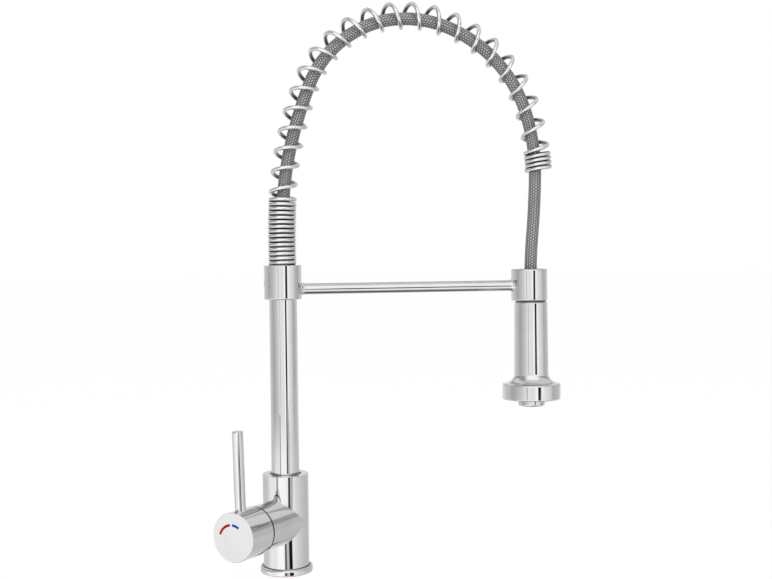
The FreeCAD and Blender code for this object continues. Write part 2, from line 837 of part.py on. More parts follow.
riserSeals = []
for number, height in enumerate(sealHeights, start=1):
    big = d.riserRadius + 0.05 - d.sealThick
    riserSeals.append(torus("riserSeal%d" % number, big, d.sealThick, upright(0, 0, height)))
riserRings = named(doc.addObject("Part::Compound", "riser_o_rings"), "riser_o_rings")
riserRings.Links = riserSeals

riserEnd = collarTop - 3.2
ring("riser_tube", riserInner, d.riserRadius, riserStart, riserEnd)

# Arm collar with its screw, the arm, the dock ring and its liner

armCollar = newBody("arm_collar")
collarBore = d.riserRadius + 0.03
collarTurn = turned(
    armCollar,
    [
        (collarBore, collarBottom),
        (d.collarRadius, collarBottom),
        (d.collarRadius, collarTop),
        (collarBore, collarTop),
    ],
)
collarTurn = rounded(armCollar, collarTurn, [(d.collarRadius, collarBottom)], d.collarRound)
bevelled(armCollar, collarTurn, [(d.collarRadius, collarTop)], 0.4, "topEdge")
collarArm = newSketch(armCollar, "YZ_Plane", "armCircle")
drawCircle(collarArm, 0, d.armHeight, d.armPin + 0.05)
pocketed(armCollar, collarArm, d.collarRadius + 1, "armHole")
collarHeight = d.armHeight + 6
collarScrew = newSketch(armCollar, "YZ_Plane", "screwCircle")
drawCircle(collarScrew, 0, collarHeight, d.screwRadius + 0.05)
pocketed(armCollar, collarScrew, d.collarRadius + 1, "screwHole", False)
screwSpot = vectorText(-d.riserRadius - 0.05, 0, collarHeight)
grubScrew(
    "collar_screw",
    d.collarRadius - d.riserRadius - 0.45,
    0.02,
    "placement(%s; rotation(0; -90; 0))" % screwSpot,
)

armStart = d.collarRadius
armEnd = ringCentre - d.collarRadius
rootRadius = d.armRadius + d.armFlare
armRod = newBody("arm_rod", "placement(vector(0; 0; Sizes.armHeight); rotation(0; 90; 0))")
turned(
    armRod,
    [
        (0, armStart - 3),
        (rootRadius, armStart - 3),
        (rootRadius, armStart - 0.6),
        (d.armRadius + d.armFlare * 0.4, armStart + 0.6),
        (d.armRadius + d.armFlare * 0.1, armStart + 2.2),
        (d.armRadius, armStart + 4),
        (d.armRadius, armEnd - 4),
        (d.armRadius + d.armFlare * 0.1, armEnd - 2.2),
        (d.armRadius + d.armFlare * 0.4, armEnd - 0.6),
        (rootRadius, armEnd + 0.6),
        (rootRadius, armEnd + 3),
        (0, armEnd + 3),
    ],
    "rod",
)
rootSketch = newSketch(armRod, "YZ_Plane", "rootCircles")
drawCircle(rootSketch, 0, 0, d.collarRadius + 0.02)
drawCircle(rootSketch, 0, ringCentre, d.collarRadius + 0.02)
rootCut = pocketed(armRod, rootSketch, d.collarRadius * 2.2, "rootCuts")
rootCut.Midplane = True
doc.recompute()
turned(
    armRod,
    [
        (0, d.riserRadius + 0.5),
        (d.armPin, d.riserRadius + 0.5),
        (d.armPin, armStart + 3),
        (0, armStart + 3),
    ],
    "nearPin",
)
turned(
    armRod,
    [
        (0, armEnd - 3),
        (d.armPin, armEnd - 3),
        (d.armPin, armEnd + 3.6),
        (0, armEnd + 3.6),
    ],
    "farPin",
)

dockRing = newBody("dock_ring", upright(ringCentre))
dockTurn = turned(
    dockRing,
    [
        (0, ringBottom),
        (d.collarRadius, ringBottom),
        (d.collarRadius, ringTop),
        (0, ringTop),
    ],
)
ringEdges = [(d.collarRadius, ringBottom), (d.collarRadius, ringTop)]
rounded(dockRing, dockTurn, ringEdges, d.ringRound)
boreSketch = newSketch(dockRing, "XY_Plane", "boreCircle", ringBottom - 1)
drawCircle(boreSketch, d.headReach - ringCentre, 0, d.ringBore)
pocketed(dockRing, boreSketch, ringTop - ringBottom + 2, "bore")
ringArm = newSketch(dockRing, "YZ_Plane", "armCircle")
drawCircle(ringArm, 0, d.armHeight, d.armPin + 0.05)
pocketed(dockRing, ringArm, d.collarRadius + 1, "armHole", False)

linerInner = d.ringBore - 0.03 - d.linerWall
linerLow = ringBottom - d.linerFlange
ringLiner = newBody("ring_liner", headPlace)
turned(
    ringLiner,
    [
        (linerInner, linerLow),
        (d.ringBore + 0.9, linerLow),
        (d.ringBore + 0.9, ringBottom),
        (d.ringBore - 0.03, ringBottom),
        (d.ringBore - 0.03, ringTop - 0.6),
        (linerInner, ringTop - 0.6),
    ],
)

# Nipple in the riser's top, its seal, and the sleeve inside the lowest turns

adapterFlange = d.riserRadius - 0.03
adapterSeal = riserEnd - 7
hoseStart = collarTop + 1
hoseAdapter = newBody("hose_adapter")
spigot = riserInner - 0.03
adapterGroove = d.sealThick * 2.04
turned(
    hoseAdapter,
    [
        (2.8, riserEnd - 14),
        (spigot, riserEnd - 14),
        (spigot, adapterSeal - d.sealThick * 1.2),
        (spigot - adapterGroove, adapterSeal - d.sealThick * 1.2),
        (spigot - adapterGroove, adapterSeal + d.sealThick * 1.2),
        (spigot, adapterSeal + d.sealThick * 1.2),
        (spigot, riserEnd),
        (adapterFlange, riserEnd),
        (adapterFlange, collarTop),
        (d.hoseBore - 0.1, collarTop),
        (d.hoseBore - 0.1, hoseStart + d.ferruleLength - 2),
        (2.8, hoseStart + d.ferruleLength - 2),
    ],
)
adapterRing = torus("adapter_seal", spigot - d.sealThick, d.sealThick, upright(0, 0, adapterSeal))
named(adapterRing, "adapter_seal")
springInner = d.coilRadius - d.wireThick * 0.5
seatTop = hoseStart + d.ferruleLength - 1
ring("spring_seat", springInner - 1.9, springInner - 0.4, collarTop, seatTop)
ring(
    "hose_ferrule_upper",
    d.hoseRadius + 0.05,
    springInner - 2.1,
    hoseStart,
    hoseStart + d.ferruleLength,
)

# Middle line of the arch: a straight run, three tangent bends and a straight end,
# all in the plane of riser and arm. A lean of 0 points up, 90 along the arm.


def cell(alias):
    return float(sheet.get(alias))


wire = cell("wireThick")
archStart = collarTop.value + wire * 0.5 + 0.35
bends = [
    (bendA.value, math.radians(cell("angleA"))),
    (bendB.value, math.radians(cell("angleB"))),
    (bendC.value, math.radians(cell("angleC"))),
]


def ahead(lean):
    return vector(math.sin(lean), 0, math.cos(lean))


def inside(lean):
    return vector(math.cos(lean), 0, -math.sin(lean))


archRuns = [(0.0, vector(0, 0, archStart), 0.0, None, cell("straightRun"))]
archAt = cell("straightRun")
archPoint = vector(0, 0, archStart + archAt)
archLean = 0.0
for bend, turn in bends:
    archRuns.append((archAt, archPoint, archLean, bend, bend * turn))
    middle = archPoint + inside(archLean) * bend
    archLean += turn
    archPoint = middle - inside(archLean) * bend
    archAt += bend * turn
archRuns.append((archAt, archPoint, archLean, None, cell("tailRun")))
archLength = archAt + cell("tailRun")


def archAtLength(along):
    chosen = archRuns[0]
    for run in archRuns:
        if along >= run[0]:
            chosen = run
    start, point, lean, bend, length = chosen
    if bend is None:
        return point + ahead(lean) * (along - start), lean
    turn = (along - start) / bend
    middle = point + inside(lean) * bend
    return middle - inside(lean + turn) * bend, lean + turn


# Spring: close turns on the riser, turns that open, close turns at the head.


def ease(share):
    share = min(1.0, max(0.0, share))
    return share * share * (3 - 2 * share)


def pitchAt(along):
    closeRun, closeEnd = cell("closeRun"), cell("closeEnd")
    spread = cell("openingRun")
    share = (along - closeRun) / (archLength - closeRun - closeEnd)
    share = min(1.0, max(0.0, share))
    wide = cell("openPitchA") + (cell("openPitchB") - cell("openPitchA")) * share
    opened = ease((along - closeRun) / spread)
    opened *= ease((archLength - closeEnd - along) / spread)
    return cell("closePitch") + (wide - cell("closePitch")) * opened


stepLength = 0.1
stepCount = int(archLength / stepLength)
phases = [math.radians(cell("startAngle"))]
for i in range(stepCount):
    phases.append(phases[-1] + 2 * math.pi * stepLength / pitchAt((i + 0.5) * stepLength))
print("spring turns %.2f" % ((phases[-1] - phases[0]) / (2 * math.pi)))


def lengthAtPhase(phase):
    low, high = 0, stepCount
    while high - low > 1:
        half = (low + high) // 2
        if phases[half] <= phase:
            low = half
        else:
            high = half
    share = (phase - phases[low]) / (phases[high] - phases[low])
    return (low + share) * stepLength


def wirePoint(phase):
    point, lean = archAtLength(lengthAtPhase(phase))
    outward = inside(lean) * -1
    front = vector(0, -1, 0)
    radius = cell("coilRadius")
    return point + outward * (radius * math.cos(phase)) + front * (radius * math.sin(phase))


def wireHeading(phase):
    small = 0.01
    low = max(phases[0], phase - small)
    high = min(phases[-1], phase + small)
    return (wirePoint(high) - wirePoint(low)).normalize()


def arcBetween(start, heading, end):
    chord = end - start
    half = chord.Length * 0.5
    across = chord * (1 / chord.Length)
    side = heading - across * heading.dot(across)
    if side.Length < 1e-6:
        return Part.makeLine(start, end)
    angle = heading.getAngle(across)
    bulge = half * math.tan(angle * 0.5)
    middle = (start + end) * 0.5 + side.normalize() * bulge
    return Part.Arc(start, middle, end).toShape()


def biarc(start, headingStart, end, headingEnd):
    # Two arcs that leave and arrive along the given headings and share a tangent.
    gap = end - start
    both = headingStart + headingEnd
    a = 2 * (1 - headingStart.dot(headingEnd))
    b = 2 * gap.dot(both)
    c = -gap.dot(gap)
    reach = (-b + math.sqrt(b * b - 4 * a * c)) / (2 * a) if a > 1e-9 else -c / b
    fore = start + headingStart * reach
    rear = end - headingEnd * reach
    meet = (fore + rear) * 0.5
    first = arcBetween(start, headingStart, meet)
    second = arcBetween(end, headingEnd * -1, meet)
    return first, Part.Edge(second.Curve, second.FirstParameter, second.LastParameter), meet


quarterTurns = int((phases[-1] - phases[0]) / (math.pi / 2))
stepPhase = (phases[-1] - phases[0]) / quarterTurns
edges = []
here = wirePoint(phases[0])
heading = wireHeading(phases[0])
edges.append(Part.makeLine(here - heading * wire, here))
tightest = 1e9
for i in range(quarterTurns):
    phase = phases[0] + (i + 1) * stepPhase
    there = wirePoint(min(phase, phases[-1]))
    nextHeading = wireHeading(min(phase, phases[-1]))
    first, second, meet = biarc(here, heading, there, nextHeading)
    for edge in (first, second):
        edges.append(edge)
        if hasattr(edge.Curve, "Radius"):
            tightest = min(tightest, edge.Curve.Radius)
    here, heading = there, nextHeading
edges.append(Part.makeLine(here, here + heading * wire))
wirePath = Part.Wire(Part.__sortEdges__(edges))
pathStart = wirePoint(phases[0]) - wireHeading(phases[0]) * wire
section = Part.Wire([Part.makeCircle(wire * 0.5, pathStart, wireHeading(phases[0]))])
pipe = Part.BRepOffsetAPI.MakePipeShell(wirePath)
pipe.add(section)
pipe.build()
pipe.makeSolid()
springShape = pipe.shape()
spring = named(doc.addObject("Part::Feature", "spring"), "spring")
spring.Shape = springShape
spring.Placement = FreeCAD.Placement()

# Least gap of the wire to itself, on points along it

perTurn = 72
samples = []
phase = phases[0]
while phase < phases[-1]:
    samples.append(wirePoint(phase))
    phase += 2 * math.pi / perTurn
least = 1e9
for i, point in enumerate(samples):
    for other in samples[i + perTurn // 2:i + perTurn * 3 // 2]:
        least = min(least, point.distanceToPoint(other))
print("spring least gap to itself %.3f mm" % (least - wire))
print("spring tightest bend of the wire %.2f mm, wire %.2f mm" % (tightest, wire))
expected = math.pi * wire * wire / 4 * wirePath.Length
print("spring volume %.0f of %.0f mm3" % (springShape.Volume, expected))

# Hose: straight runs joined by tangent bends, up the riser, along the inner side of the
# arch, out of the spring and down into the head.

hoseShift = cell("hoseShift")


def crossing(pointA, leanA, pointB, leanB):
    # Corner where two straight runs meet.
    a, b = ahead(leanA), ahead(leanB)
    gap = pointB - pointA
    across = a.x * b.z - a.z * b.x
    share = (gap.x * b.z - gap.z * b.x) / across
    return pointA + a * share


bendStarts = [(run[1] + inside(run[2]) * hoseShift, run[2]) for run in archRuns[2:]]
springEnd, endLean = archAtLength(archLength)
outOfSpring = springEnd + inside(endLean) * hoseShift
tailTopZ = headTop.value + 9.4
hoseEnd = vector(cell("headReach"), 0, tailTopZ + 0.4)
overRing = vector(cell("headReach"), 0, ringTop.value + 3)
route = [vector(0, 0, collarTop.value + 1)]
route.append(crossing(route[0], 0.0, bendStarts[0][0], bendStarts[0][1]))
route.append(crossing(bendStarts[0][0], bendStarts[0][1], bendStarts[1][0], bendStarts[1][1]))
route.append(crossing(bendStarts[1][0], bendStarts[1][1], bendStarts[2][0], bendStarts[2][1]))
route += [outOfSpring, overRing, hoseEnd]
hoseBends = [
    bendA.value * 0.98,
    bendB.value - hoseShift,
    bendC.value - hoseShift,
    cell("hoseBend"),
    cell("hoseBend"),
]


def roundedRoute(corners, radii):
    # Each corner is replaced by a bend; a bend too wide for its straights is made to fit.
    made = []
    reachBefore = 0.0
    at = corners[0]
    bends = []
    for i, radius in enumerate(radii, start=1):
        back = (corners[i - 1] - corners[i])
        fore = (corners[i + 1] - corners[i])
        turn = math.pi - back.getAngle(fore)
        reach = radius * math.tan(turn * 0.5)
        room = back.Length - reachBefore
        reach = min(reach, room * 0.999, fore.Length * 0.98)
        radius = reach / math.tan(turn * 0.5)
        enter = corners[i] + back * (reach / back.Length)
        leave = corners[i] + fore * (reach / fore.Length)
        if at.distanceToPoint(enter) > 1e-4:
            made.append(Part.makeLine(at, enter))
        made.append(arcBetween(enter, (corners[i] - enter).normalize(), leave))
        bends.append(radius)
        at = leave
        reachBefore = reach
    made.append(Part.makeLine(at, corners[-1]))
    return Part.Wire(made), bends


hosePath, hoseRadii = roundedRoute(route, hoseBends)


def tube(path, radius):
    circle = Part.Wire([Part.makeCircle(radius, route[0], vector(0, 0, 1))])
    shell = Part.BRepOffsetAPI.MakePipeShell(path)
    shell.add(circle)
    shell.build()
    shell.makeSolid()
    return shell.shape()


hoseShape = tube(hosePath, cell("hoseRadius")).cut(tube(hosePath, cell("hoseBore")))
hose = named(doc.addObject("Part::Feature", "spray_hose"), "spray_hose")
hose.Shape = hoseShape
hose.Placement = FreeCAD.Placement()
hoseSection = math.pi * (cell("hoseRadius") ** 2 - cell("hoseBore") ** 2)
print("hose bends " + ", ".join("%.1f" % radius for radius in hoseRadii))
print("hose length %.1f mm" % hosePath.Length)
print("hose volume %.0f of %.0f mm3" % (hoseShape.Volume, hoseSection * hosePath.Length))

# Spray head, on its own axis

shellFloor = headTop - d.shankCeiling
neckLow = headTop - 24.6
tailTop = headTop + 9.4
valveLow = headTop - 12.4
neckTop = ringTop - 2.4
headNeck = newBody("head_neck", headPlace)
turned(
    headNeck,
    [
        (6.0, neckLow + 6),
        (d.tubeRadius + 0.1, neckLow + 6),
        (d.tubeRadius + 0.1, neckLow),
        (d.neckRadius, neckLow),
        (d.neckRadius, valveLow),
        (d.neckRadius + 1.8, valveLow),
        (d.neckRadius + 1.8, shellFloor),
        (d.neckRadius, shellFloor),
        (d.neckRadius, neckTop),
        (d.neckBore, neckTop),
        (d.neckBore, tailTop - 0.2),
        (d.neckBore - 0.3, tailTop - 0.2),
        (d.neckBore - 0.3, valveLow),
        (6.0, valveLow),
    ],
)
valveRadius = d.neckBore - 0.42
checkValve = newBody("check_valve", headPlace)
turned(
    checkValve,
    [
        (0, valveLow + 0.2),
        (2.2, valveLow + 0.2),
        (2.2, valveLow + 3.2),
        (valveRadius, valveLow + 3.2),
        (valveRadius, valveLow + 13.6),
        (4.6, valveLow + 13.6),
        (4.6, valveLow + 6.2),
        (0, valveLow + 6.2),
    ],
)
valveSketch = newSketch(checkValve, "XY_Plane", "windowCircle", valveLow + 2)
drawCircle(valveSketch, 3.9, 0, 1.1)
valveWindow = pocketed(checkValve, valveSketch, 6, "window")
patterned(checkValve, valveWindow, 6, "windows")
ring("tail_washer", 4.2, valveRadius, valveLow + 13.7, valveLow + 15.4, headPlace)
hoseTail = newBody("hose_tail", headPlace)
nipple = d.hoseBore - 0.3
turned(
    hoseTail,
    [
        (2.6, valveLow + 15.5),
        (valveRadius, valveLow + 15.5),
        (valveRadius, tailTop),
        (nipple, tailTop),
        (nipple, tailTop + d.ferruleLength - 1),
        (2.6, tailTop + d.ferruleLength - 1),
    ],
)
ring(
    "hose_ferrule_lower",
    d.hoseRadius + 0.3,
    d.neckBore - 0.2,
    tailTop + 0.4,
    neckTop - 0.6,
    headPlace,
)

shellInner = d.waistRadius - d.shellWall
plateRadius = d.discRadius - 2.2
discCeiling = discTop - 4
sprayShell = newBody("spray_shell", headPlace)
shellTurn = turned(
    sprayShell,
    [
        (d.neckRadius + 0.05, headTop),
        (d.headTopRadius, headTop),
        (d.waistRadius, discTop),
        (d.discRadius, discTop),
        (d.discRadius, discBottom),
        (plateRadius, discBottom),
        (plateRadius, discCeiling),
        (shellInner, discCeiling),
        (shellInner, shellFloor),
        (d.neckRadius + 0.05, shellFloor),
    ],
)
flareWide = d.discRadius - d.waistRadius
flare = rounded(sprayShell, shellTurn, [(d.waistRadius, discTop)], flareWide * 0.84, "flare")
discEdges = [(d.discRadius, discTop), (d.discRadius, discBottom)]
flare = rounded(sprayShell, flare, discEdges, flareWide * 0.12, "discEdges")
rounded(sprayShell, flare, [(d.headTopRadius, headTop)], 0.8, "topEdge")

plateLow = discBottom + 0.6
plateTop = plateLow + 3.5
ring("spray_plate", d.nozzleRadius + 0.1, plateRadius - 0.05, plateLow, plateTop, headPlace)

aeratorRadius = d.nozzleRadius - 2.15
nozzleTop = plateTop + 2.6
nozzle = newBody("nozzle_housing", headPlace)
nozzleTurn = turned(
    nozzle,
    [
        (aeratorRadius - 1.1, nozzleBottom),
        (d.nozzleRadius, nozzleBottom),
        (d.nozzleRadius, plateTop),
        (d.nozzleRadius + 1.3, plateTop),
        (d.nozzleRadius + 1.3, nozzleTop),
        (aeratorRadius, nozzleTop),
        (aeratorRadius, nozzleBottom + 1.0),
        (aeratorRadius - 1.1, nozzleBottom + 1.0),
    ],
)
nozzleTurn = rounded(nozzle, nozzleTurn, [(d.nozzleRadius, nozzleBottom)], d.nozzleRound)
gripSketch = newSketch(nozzle, "XY_Plane", "gripSquare", nozzleBottom - 0.5)
drawSquare(gripSketch, d.nozzleRadius, 0, 0.9, 0.6)
gripCut = pocketed(nozzle, gripSketch, 4.2, "grip")
patterned(nozzle, gripCut, 12, "grips")

insertRadius = aeratorRadius - 0.05
insertLow = nozzleBottom + 1.05
insertTop = nozzleTop - 2.8
aerator = newBody("aerator_insert", headPlace)
turned(
    aerator,
    [
        (0, insertLow),
        (insertRadius, insertLow),
        (insertRadius, insertTop),
        (0, insertTop),
    ],
)
middleHole = newSketch(aerator, "XY_Plane", "middleCircle", insertLow - 0.5)
drawCircle(middleHole, 0, 0, 1.2)
pocketed(aerator, middleHole, insertTop - insertLow + 1, "middleHole")
for holes, share in ((6, 0.36), (12, 0.72)):
    ringSketch = newSketch(aerator, "XY_Plane", "ring%dCircle" % holes, insertLow - 0.5)
    drawCircle(ringSketch, insertRadius * share, 0, 1.2)
    hole = pocketed(aerator, ringSketch, insertTop - insertLow + 1, "ring%dHole" % holes)
    patterned(aerator, hole, holes, "ring%dHoles" % holes)
ring("aerator_seal", d.tubeRadius - 2.8, insertRadius, insertTop + 0.1, nozzleTop - 0.05, headPlace)

tubeTop = neckLow + 5.6
tubeSeal = tubeTop - 2.2
flowTube = newBody("flow_tube", headPlace)
tubeInner = d.tubeRadius - 2.8
turned(
    flowTube,
    [
        (tubeInner, nozzleTop),
        (d.nozzleRadius + 1.2, nozzleTop),
        (d.nozzleRadius + 1.2, nozzleTop + 2.4),
        (d.tubeRadius, nozzleTop + 2.4),
        (d.tubeRadius, tubeSeal - d.sealThick * 1.2),
        (d.tubeRadius - sealGroove, tubeSeal - d.sealThick * 1.2),
        (d.tubeRadius - sealGroove, tubeSeal + d.sealThick * 1.2),
        (d.tubeRadius, tubeSeal + d.sealThick * 1.2),
        (d.tubeRadius, tubeTop),
        (tubeInner, tubeTop),
    ],
)
tubeRing = torus(
    "tube_seal",
    d.tubeRadius + 0.05 - d.sealThick,
    d.sealThick,
    upright(d.headReach, 0, tubeSeal),
)
named(tubeRing, "tube_seal")

# Every piece is tested, then written under its own label

doc.recompute()
for obj in doc.Objects:
    if "Invalid" in obj.State or "Error" in obj.State:
        raise RuntimeError("%s did not recompute: %s" % (obj.Label, obj.State))
os.makedirs("parts", exist_ok=True)
labels = set()
for piece in pieces:
    shape = piece.Shape
    if shape.isNull() or not shape.isValid() or not shape.Solids:
        raise RuntimeError("%s is not a valid solid" % piece.Label)
    if piece.Label in labels:
        raise RuntimeError("two pieces are called " + piece.Label)
    labels.add(piece.Label)
    shape.exportStep(os.path.join("parts", piece.Label + ".step"))
whole = Part.makeCompound([piece.Shape for piece in pieces]).BoundBox
print("pieces %d" % len(pieces))
print("box %.1f %.1f %.1f to %.1f %.1f %.1f" % (
    whole.XMin, whole.YMin, whole.ZMin, whole.XMax, whole.YMax, whole.ZMax))
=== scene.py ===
import math
import bpy
import numpy as np
from mathutils import Euler, Matrix, Vector
from mathutils.kdtree import KDTree


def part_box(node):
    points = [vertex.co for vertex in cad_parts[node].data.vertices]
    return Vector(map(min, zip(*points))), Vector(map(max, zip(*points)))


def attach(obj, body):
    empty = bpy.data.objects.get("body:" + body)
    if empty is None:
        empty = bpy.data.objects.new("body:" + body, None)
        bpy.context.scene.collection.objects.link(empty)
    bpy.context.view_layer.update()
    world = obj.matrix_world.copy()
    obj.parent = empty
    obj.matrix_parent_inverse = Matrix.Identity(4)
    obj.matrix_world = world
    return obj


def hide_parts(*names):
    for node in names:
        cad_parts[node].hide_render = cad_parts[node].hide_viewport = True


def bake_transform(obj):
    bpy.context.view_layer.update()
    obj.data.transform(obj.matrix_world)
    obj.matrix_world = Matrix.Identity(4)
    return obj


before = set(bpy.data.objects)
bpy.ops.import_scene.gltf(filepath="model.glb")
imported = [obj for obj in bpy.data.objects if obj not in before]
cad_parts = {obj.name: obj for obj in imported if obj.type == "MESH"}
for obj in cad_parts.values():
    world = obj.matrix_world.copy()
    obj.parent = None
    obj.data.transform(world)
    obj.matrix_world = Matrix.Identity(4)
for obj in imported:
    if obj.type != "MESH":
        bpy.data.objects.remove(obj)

scene = bpy.context.scene
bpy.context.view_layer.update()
mm = 0.001


# camera where the photograph was taken from

cameraSetup = {
    "place": (-0.12306, -1.09601, 0.29855),
    "lens": 53.86,
    "sensor": 36.0,
    "pitchDown": 1.590,
    "yaw": -11.507,
    "roll": -0.645,
}


def placeCamera(setup):
    data = bpy.data.cameras.new("photoCamera")
    data.lens = setup["lens"]
    data.sensor_width = setup["sensor"]
    data.sensor_fit = "HORIZONTAL"
    data.clip_start = 0.01
    data.clip_end = 60
    camera = bpy.data.objects.new("photoCamera", data)
    scene.collection.objects.link(camera)
    aim = Euler((math.radians(90 - setup["pitchDown"]), 0, math.radians(setup["yaw"]))).to_matrix()
    aim = aim @ Matrix.Rotation(math.radians(setup["roll"]), 3, "Z")
    camera.matrix_world = Matrix.Translation(setup["place"]) @ aim.to_4x4()
    scene.camera = camera


placeCamera(cameraSetup)
print("camera set")


# small helpers for modelling by hand

def deselectAll():
    if bpy.context.object and bpy.context.object.mode != "OBJECT":
        bpy.ops.object.mode_set(mode="OBJECT")
    bpy.ops.object.select_all(action="DESELECT")


def pick(obj):
    deselectAll()
    obj.select_set(True)
    bpy.context.view_layer.objects.active = obj


def smoothByAngle(obj, degrees):
    pick(obj)
    bpy.ops.object.shade_smooth_by_angle(angle=math.radians(degrees))


def settle(obj, matrix):
    # moves a piece to its place and leaves its object at the origin
    obj.matrix_world = matrix
    pick(obj)
    bpy.ops.object.transform_apply(location=True, rotation=True, scale=True)


# small helpers for node trees

def addNode(tree, kind, **settings):
    node = tree.nodes.new(kind)
    node.location = (180 * (len(tree.nodes) % 12), -220 * (len(tree.nodes) // 12))
    for name, value in settings.items():
        setattr(node, name, value)
    return node


def feed(tree, socket, value):
    if isinstance(value, bpy.types.NodeSocket):
        tree.links.new(value, socket)
    else:
        socket.default_value = value


def mathOf(tree, operation, *values):
    node = addNode(tree, "ShaderNodeMath", operation=operation)
    for socket, value in zip(node.inputs, values):
        feed(tree, socket, value)
    return node.outputs[0]


def spread(tree, value, low, high, toLow, toHigh, ease=False):
    node = addNode(tree, "ShaderNodeMapRange")
    node.interpolation_type = "SMOOTHSTEP" if ease else "LINEAR"
    for socket, number in zip(node.inputs, (value, low, high, toLow, toHigh)):
        feed(tree, socket, number)
    return node.outputs[0]


def mixColour(tree, share, first, second):
    node = addNode(tree, "ShaderNodeMix", data_type="RGBA")
    feed(tree, node.inputs[0], share)
    feed(tree, node.inputs[6], first)
    feed(tree, node.inputs[7], second)
    return node.outputs[2]


def noiseOf(tree, vector, scale, detail=3.0):
    node = addNode(tree, "ShaderNodeTexNoise")
    feed(tree, node.inputs["Vector"], vector)
    feed(tree, node.inputs["Scale"], scale)
    node.inputs["Detail"].default_value = detail
    return node.outputs[0]


def newGroup(name, inputs, outputs):
    tree = bpy.data.node_groups.new(name, "ShaderNodeTree")
    for label in inputs:
        tree.interface.new_socket(label, in_out="INPUT", socket_type="NodeSocketFloat")
    for label in outputs:
        tree.interface.new_socket(label, in_out="OUTPUT", socket_type="NodeSocketFloat")
    return tree, addNode(tree, "NodeGroupInput"), addNode(tree, "NodeGroupOutput")


def newMaterial(name):
    material = bpy.data.materials.new(name)
    material.use_nodes = True
    tree = material.node_tree
    return material, tree, tree.nodes["Principled BSDF"]


def useGroup(tree, group, **values):
    node = addNode(tree, "ShaderNodeGroup")
    node.node_tree = group
    for name, value in values.items():
        feed(tree, node.inputs[name], value)
    return node


def bumpOn(tree, shader, height, strength, distance):
    bump = addNode(tree, "ShaderNodeBump")
    bump.inputs["Strength"].default_value = strength
    bump.inputs["Distance"].default_value = distance
    feed(tree, bump.inputs["Height"], height)
    feed(tree, shader.inputs["Normal"], bump.outputs[0])


# shared effects

polish = {
    "smearLimits": (0.42, 0.72),
    "smearDetail": 4,
    "lineStretch": (1.0, 1.0, 0.06),
    "lineDetail": 2,
    "lineHeight": 0.35,
}


def polishGroup(setup):
    # thin water film, finger smears and the fine lines that polishing leaves
    tree, start, end = newGroup("polishMarks", ["SmearScale", "LineScale"], ["Smear", "Lines", "Height"])
    place = addNode(tree, "ShaderNodeTexCoord").outputs["Object"]
    smear = noiseOf(tree, place, start.outputs["SmearScale"], setup["smearDetail"])
    stretch = addNode(tree, "ShaderNodeMapping")
    feed(tree, stretch.inputs["Vector"], place)
    stretch.inputs["Scale"].default_value = setup["lineStretch"]
    lines = noiseOf(tree, stretch.outputs[0], start.outputs["LineScale"], setup["lineDetail"])
    feed(tree, end.inputs["Smear"], spread(tree, smear, *setup["smearLimits"], 0.0, 1.0, True))
    feed(tree, end.inputs["Lines"], lines)
    feed(tree, end.inputs["Height"], mathOf(tree, "MULTIPLY_ADD", lines, setup["lineHeight"], smear))
    return tree


mould = {"cloudScale": 140.0, "grainDetail": 5}


def grainGroup(setup):
    # fine moulded or cast grain with larger cloudy patches
    tree, start, end = newGroup("fineGrain", ["GrainScale"], ["Cloud", "Grain"])
    place = addNode(tree, "ShaderNodeTexCoord").outputs["Object"]
    feed(tree, end.inputs["Cloud"], noiseOf(tree, place, setup["cloudScale"]))
    grain = noiseOf(tree, place, start.outputs["GrainScale"], setup["grainDetail"])
    feed(tree, end.inputs["Grain"], grain)
    return tree


polishMarks = polishGroup(polish)
fineGrain = grainGroup(mould)


# finishes

polishDepth = 0.05 * mm
grainDepth = 0.06 * mm
shadeLimits = (0.1, 1.3)    # smears and lines together, from bright to dull
grainLimits = (0.3, 0.7)
lineShade = 0.5

metals = {
    "chrome": {
        "name": "chromePlate", "bright": (0.64, 0.64, 0.64, 1), "dull": (0.60, 0.605, 0.61, 1),
        "rough": (0.015, 0.04), "smearScale": 38.0, "lineScale": 2600.0, "bump": 0.02,
    },
    "brass": {
        "name": "turnedBrass", "bright": (0.80, 0.62, 0.32, 1), "dull": (0.62, 0.45, 0.20, 1),
        "rough": (0.18, 0.34), "smearScale": 90.0, "lineScale": 3200.0, "bump": 0.2,
    },
    "steel": {
        "name": "plainSteel", "bright": (0.66, 0.66, 0.67, 1), "dull": (0.50, 0.50, 0.51, 1),
        "rough": (0.2, 0.36), "smearScale": 120.0, "lineScale": 3600.0, "bump": 0.2,
    },
    "gapGrey": {
        "name": "gapGreyPlate", "bright": (0.42, 0.42, 0.41, 1), "dull": (0.34, 0.34, 0.33, 1),
        "rough": (0.12, 0.24), "smearScale": 60.0, "lineScale": 2800.0, "bump": 0.08,
    },
}

mouldings = {
    "rubber": {
        "name": "blackRubber", "light": (0.028, 0.028, 0.03, 1), "dark": (0.016, 0.016, 0.017, 1),
        "rough": (0.55, 0.75), "grainScale": 2600.0, "bump": 0.35,
    },
    "ceramic": {
        "name": "whiteCeramic", "light": (0.80, 0.79, 0.76, 1), "dark": (0.72, 0.71, 0.69, 1),
        "rough": (0.12, 0.2), "grainScale": 4200.0, "bump": 0.08,
    },
    "plastic": {
        "name": "darkPlastic", "light": (0.05, 0.05, 0.054, 1), "dark": (0.034, 0.034, 0.037, 1),
        "rough": (0.34, 0.5), "grainScale": 3000.0, "bump": 0.22,
    },
    "grey_plastic": {
        "name": "greyPlastic", "light": (0.42, 0.43, 0.44, 1), "dark": (0.35, 0.36, 0.37, 1),
        "rough": (0.3, 0.45), "grainScale": 3000.0, "bump": 0.22,
    },
}


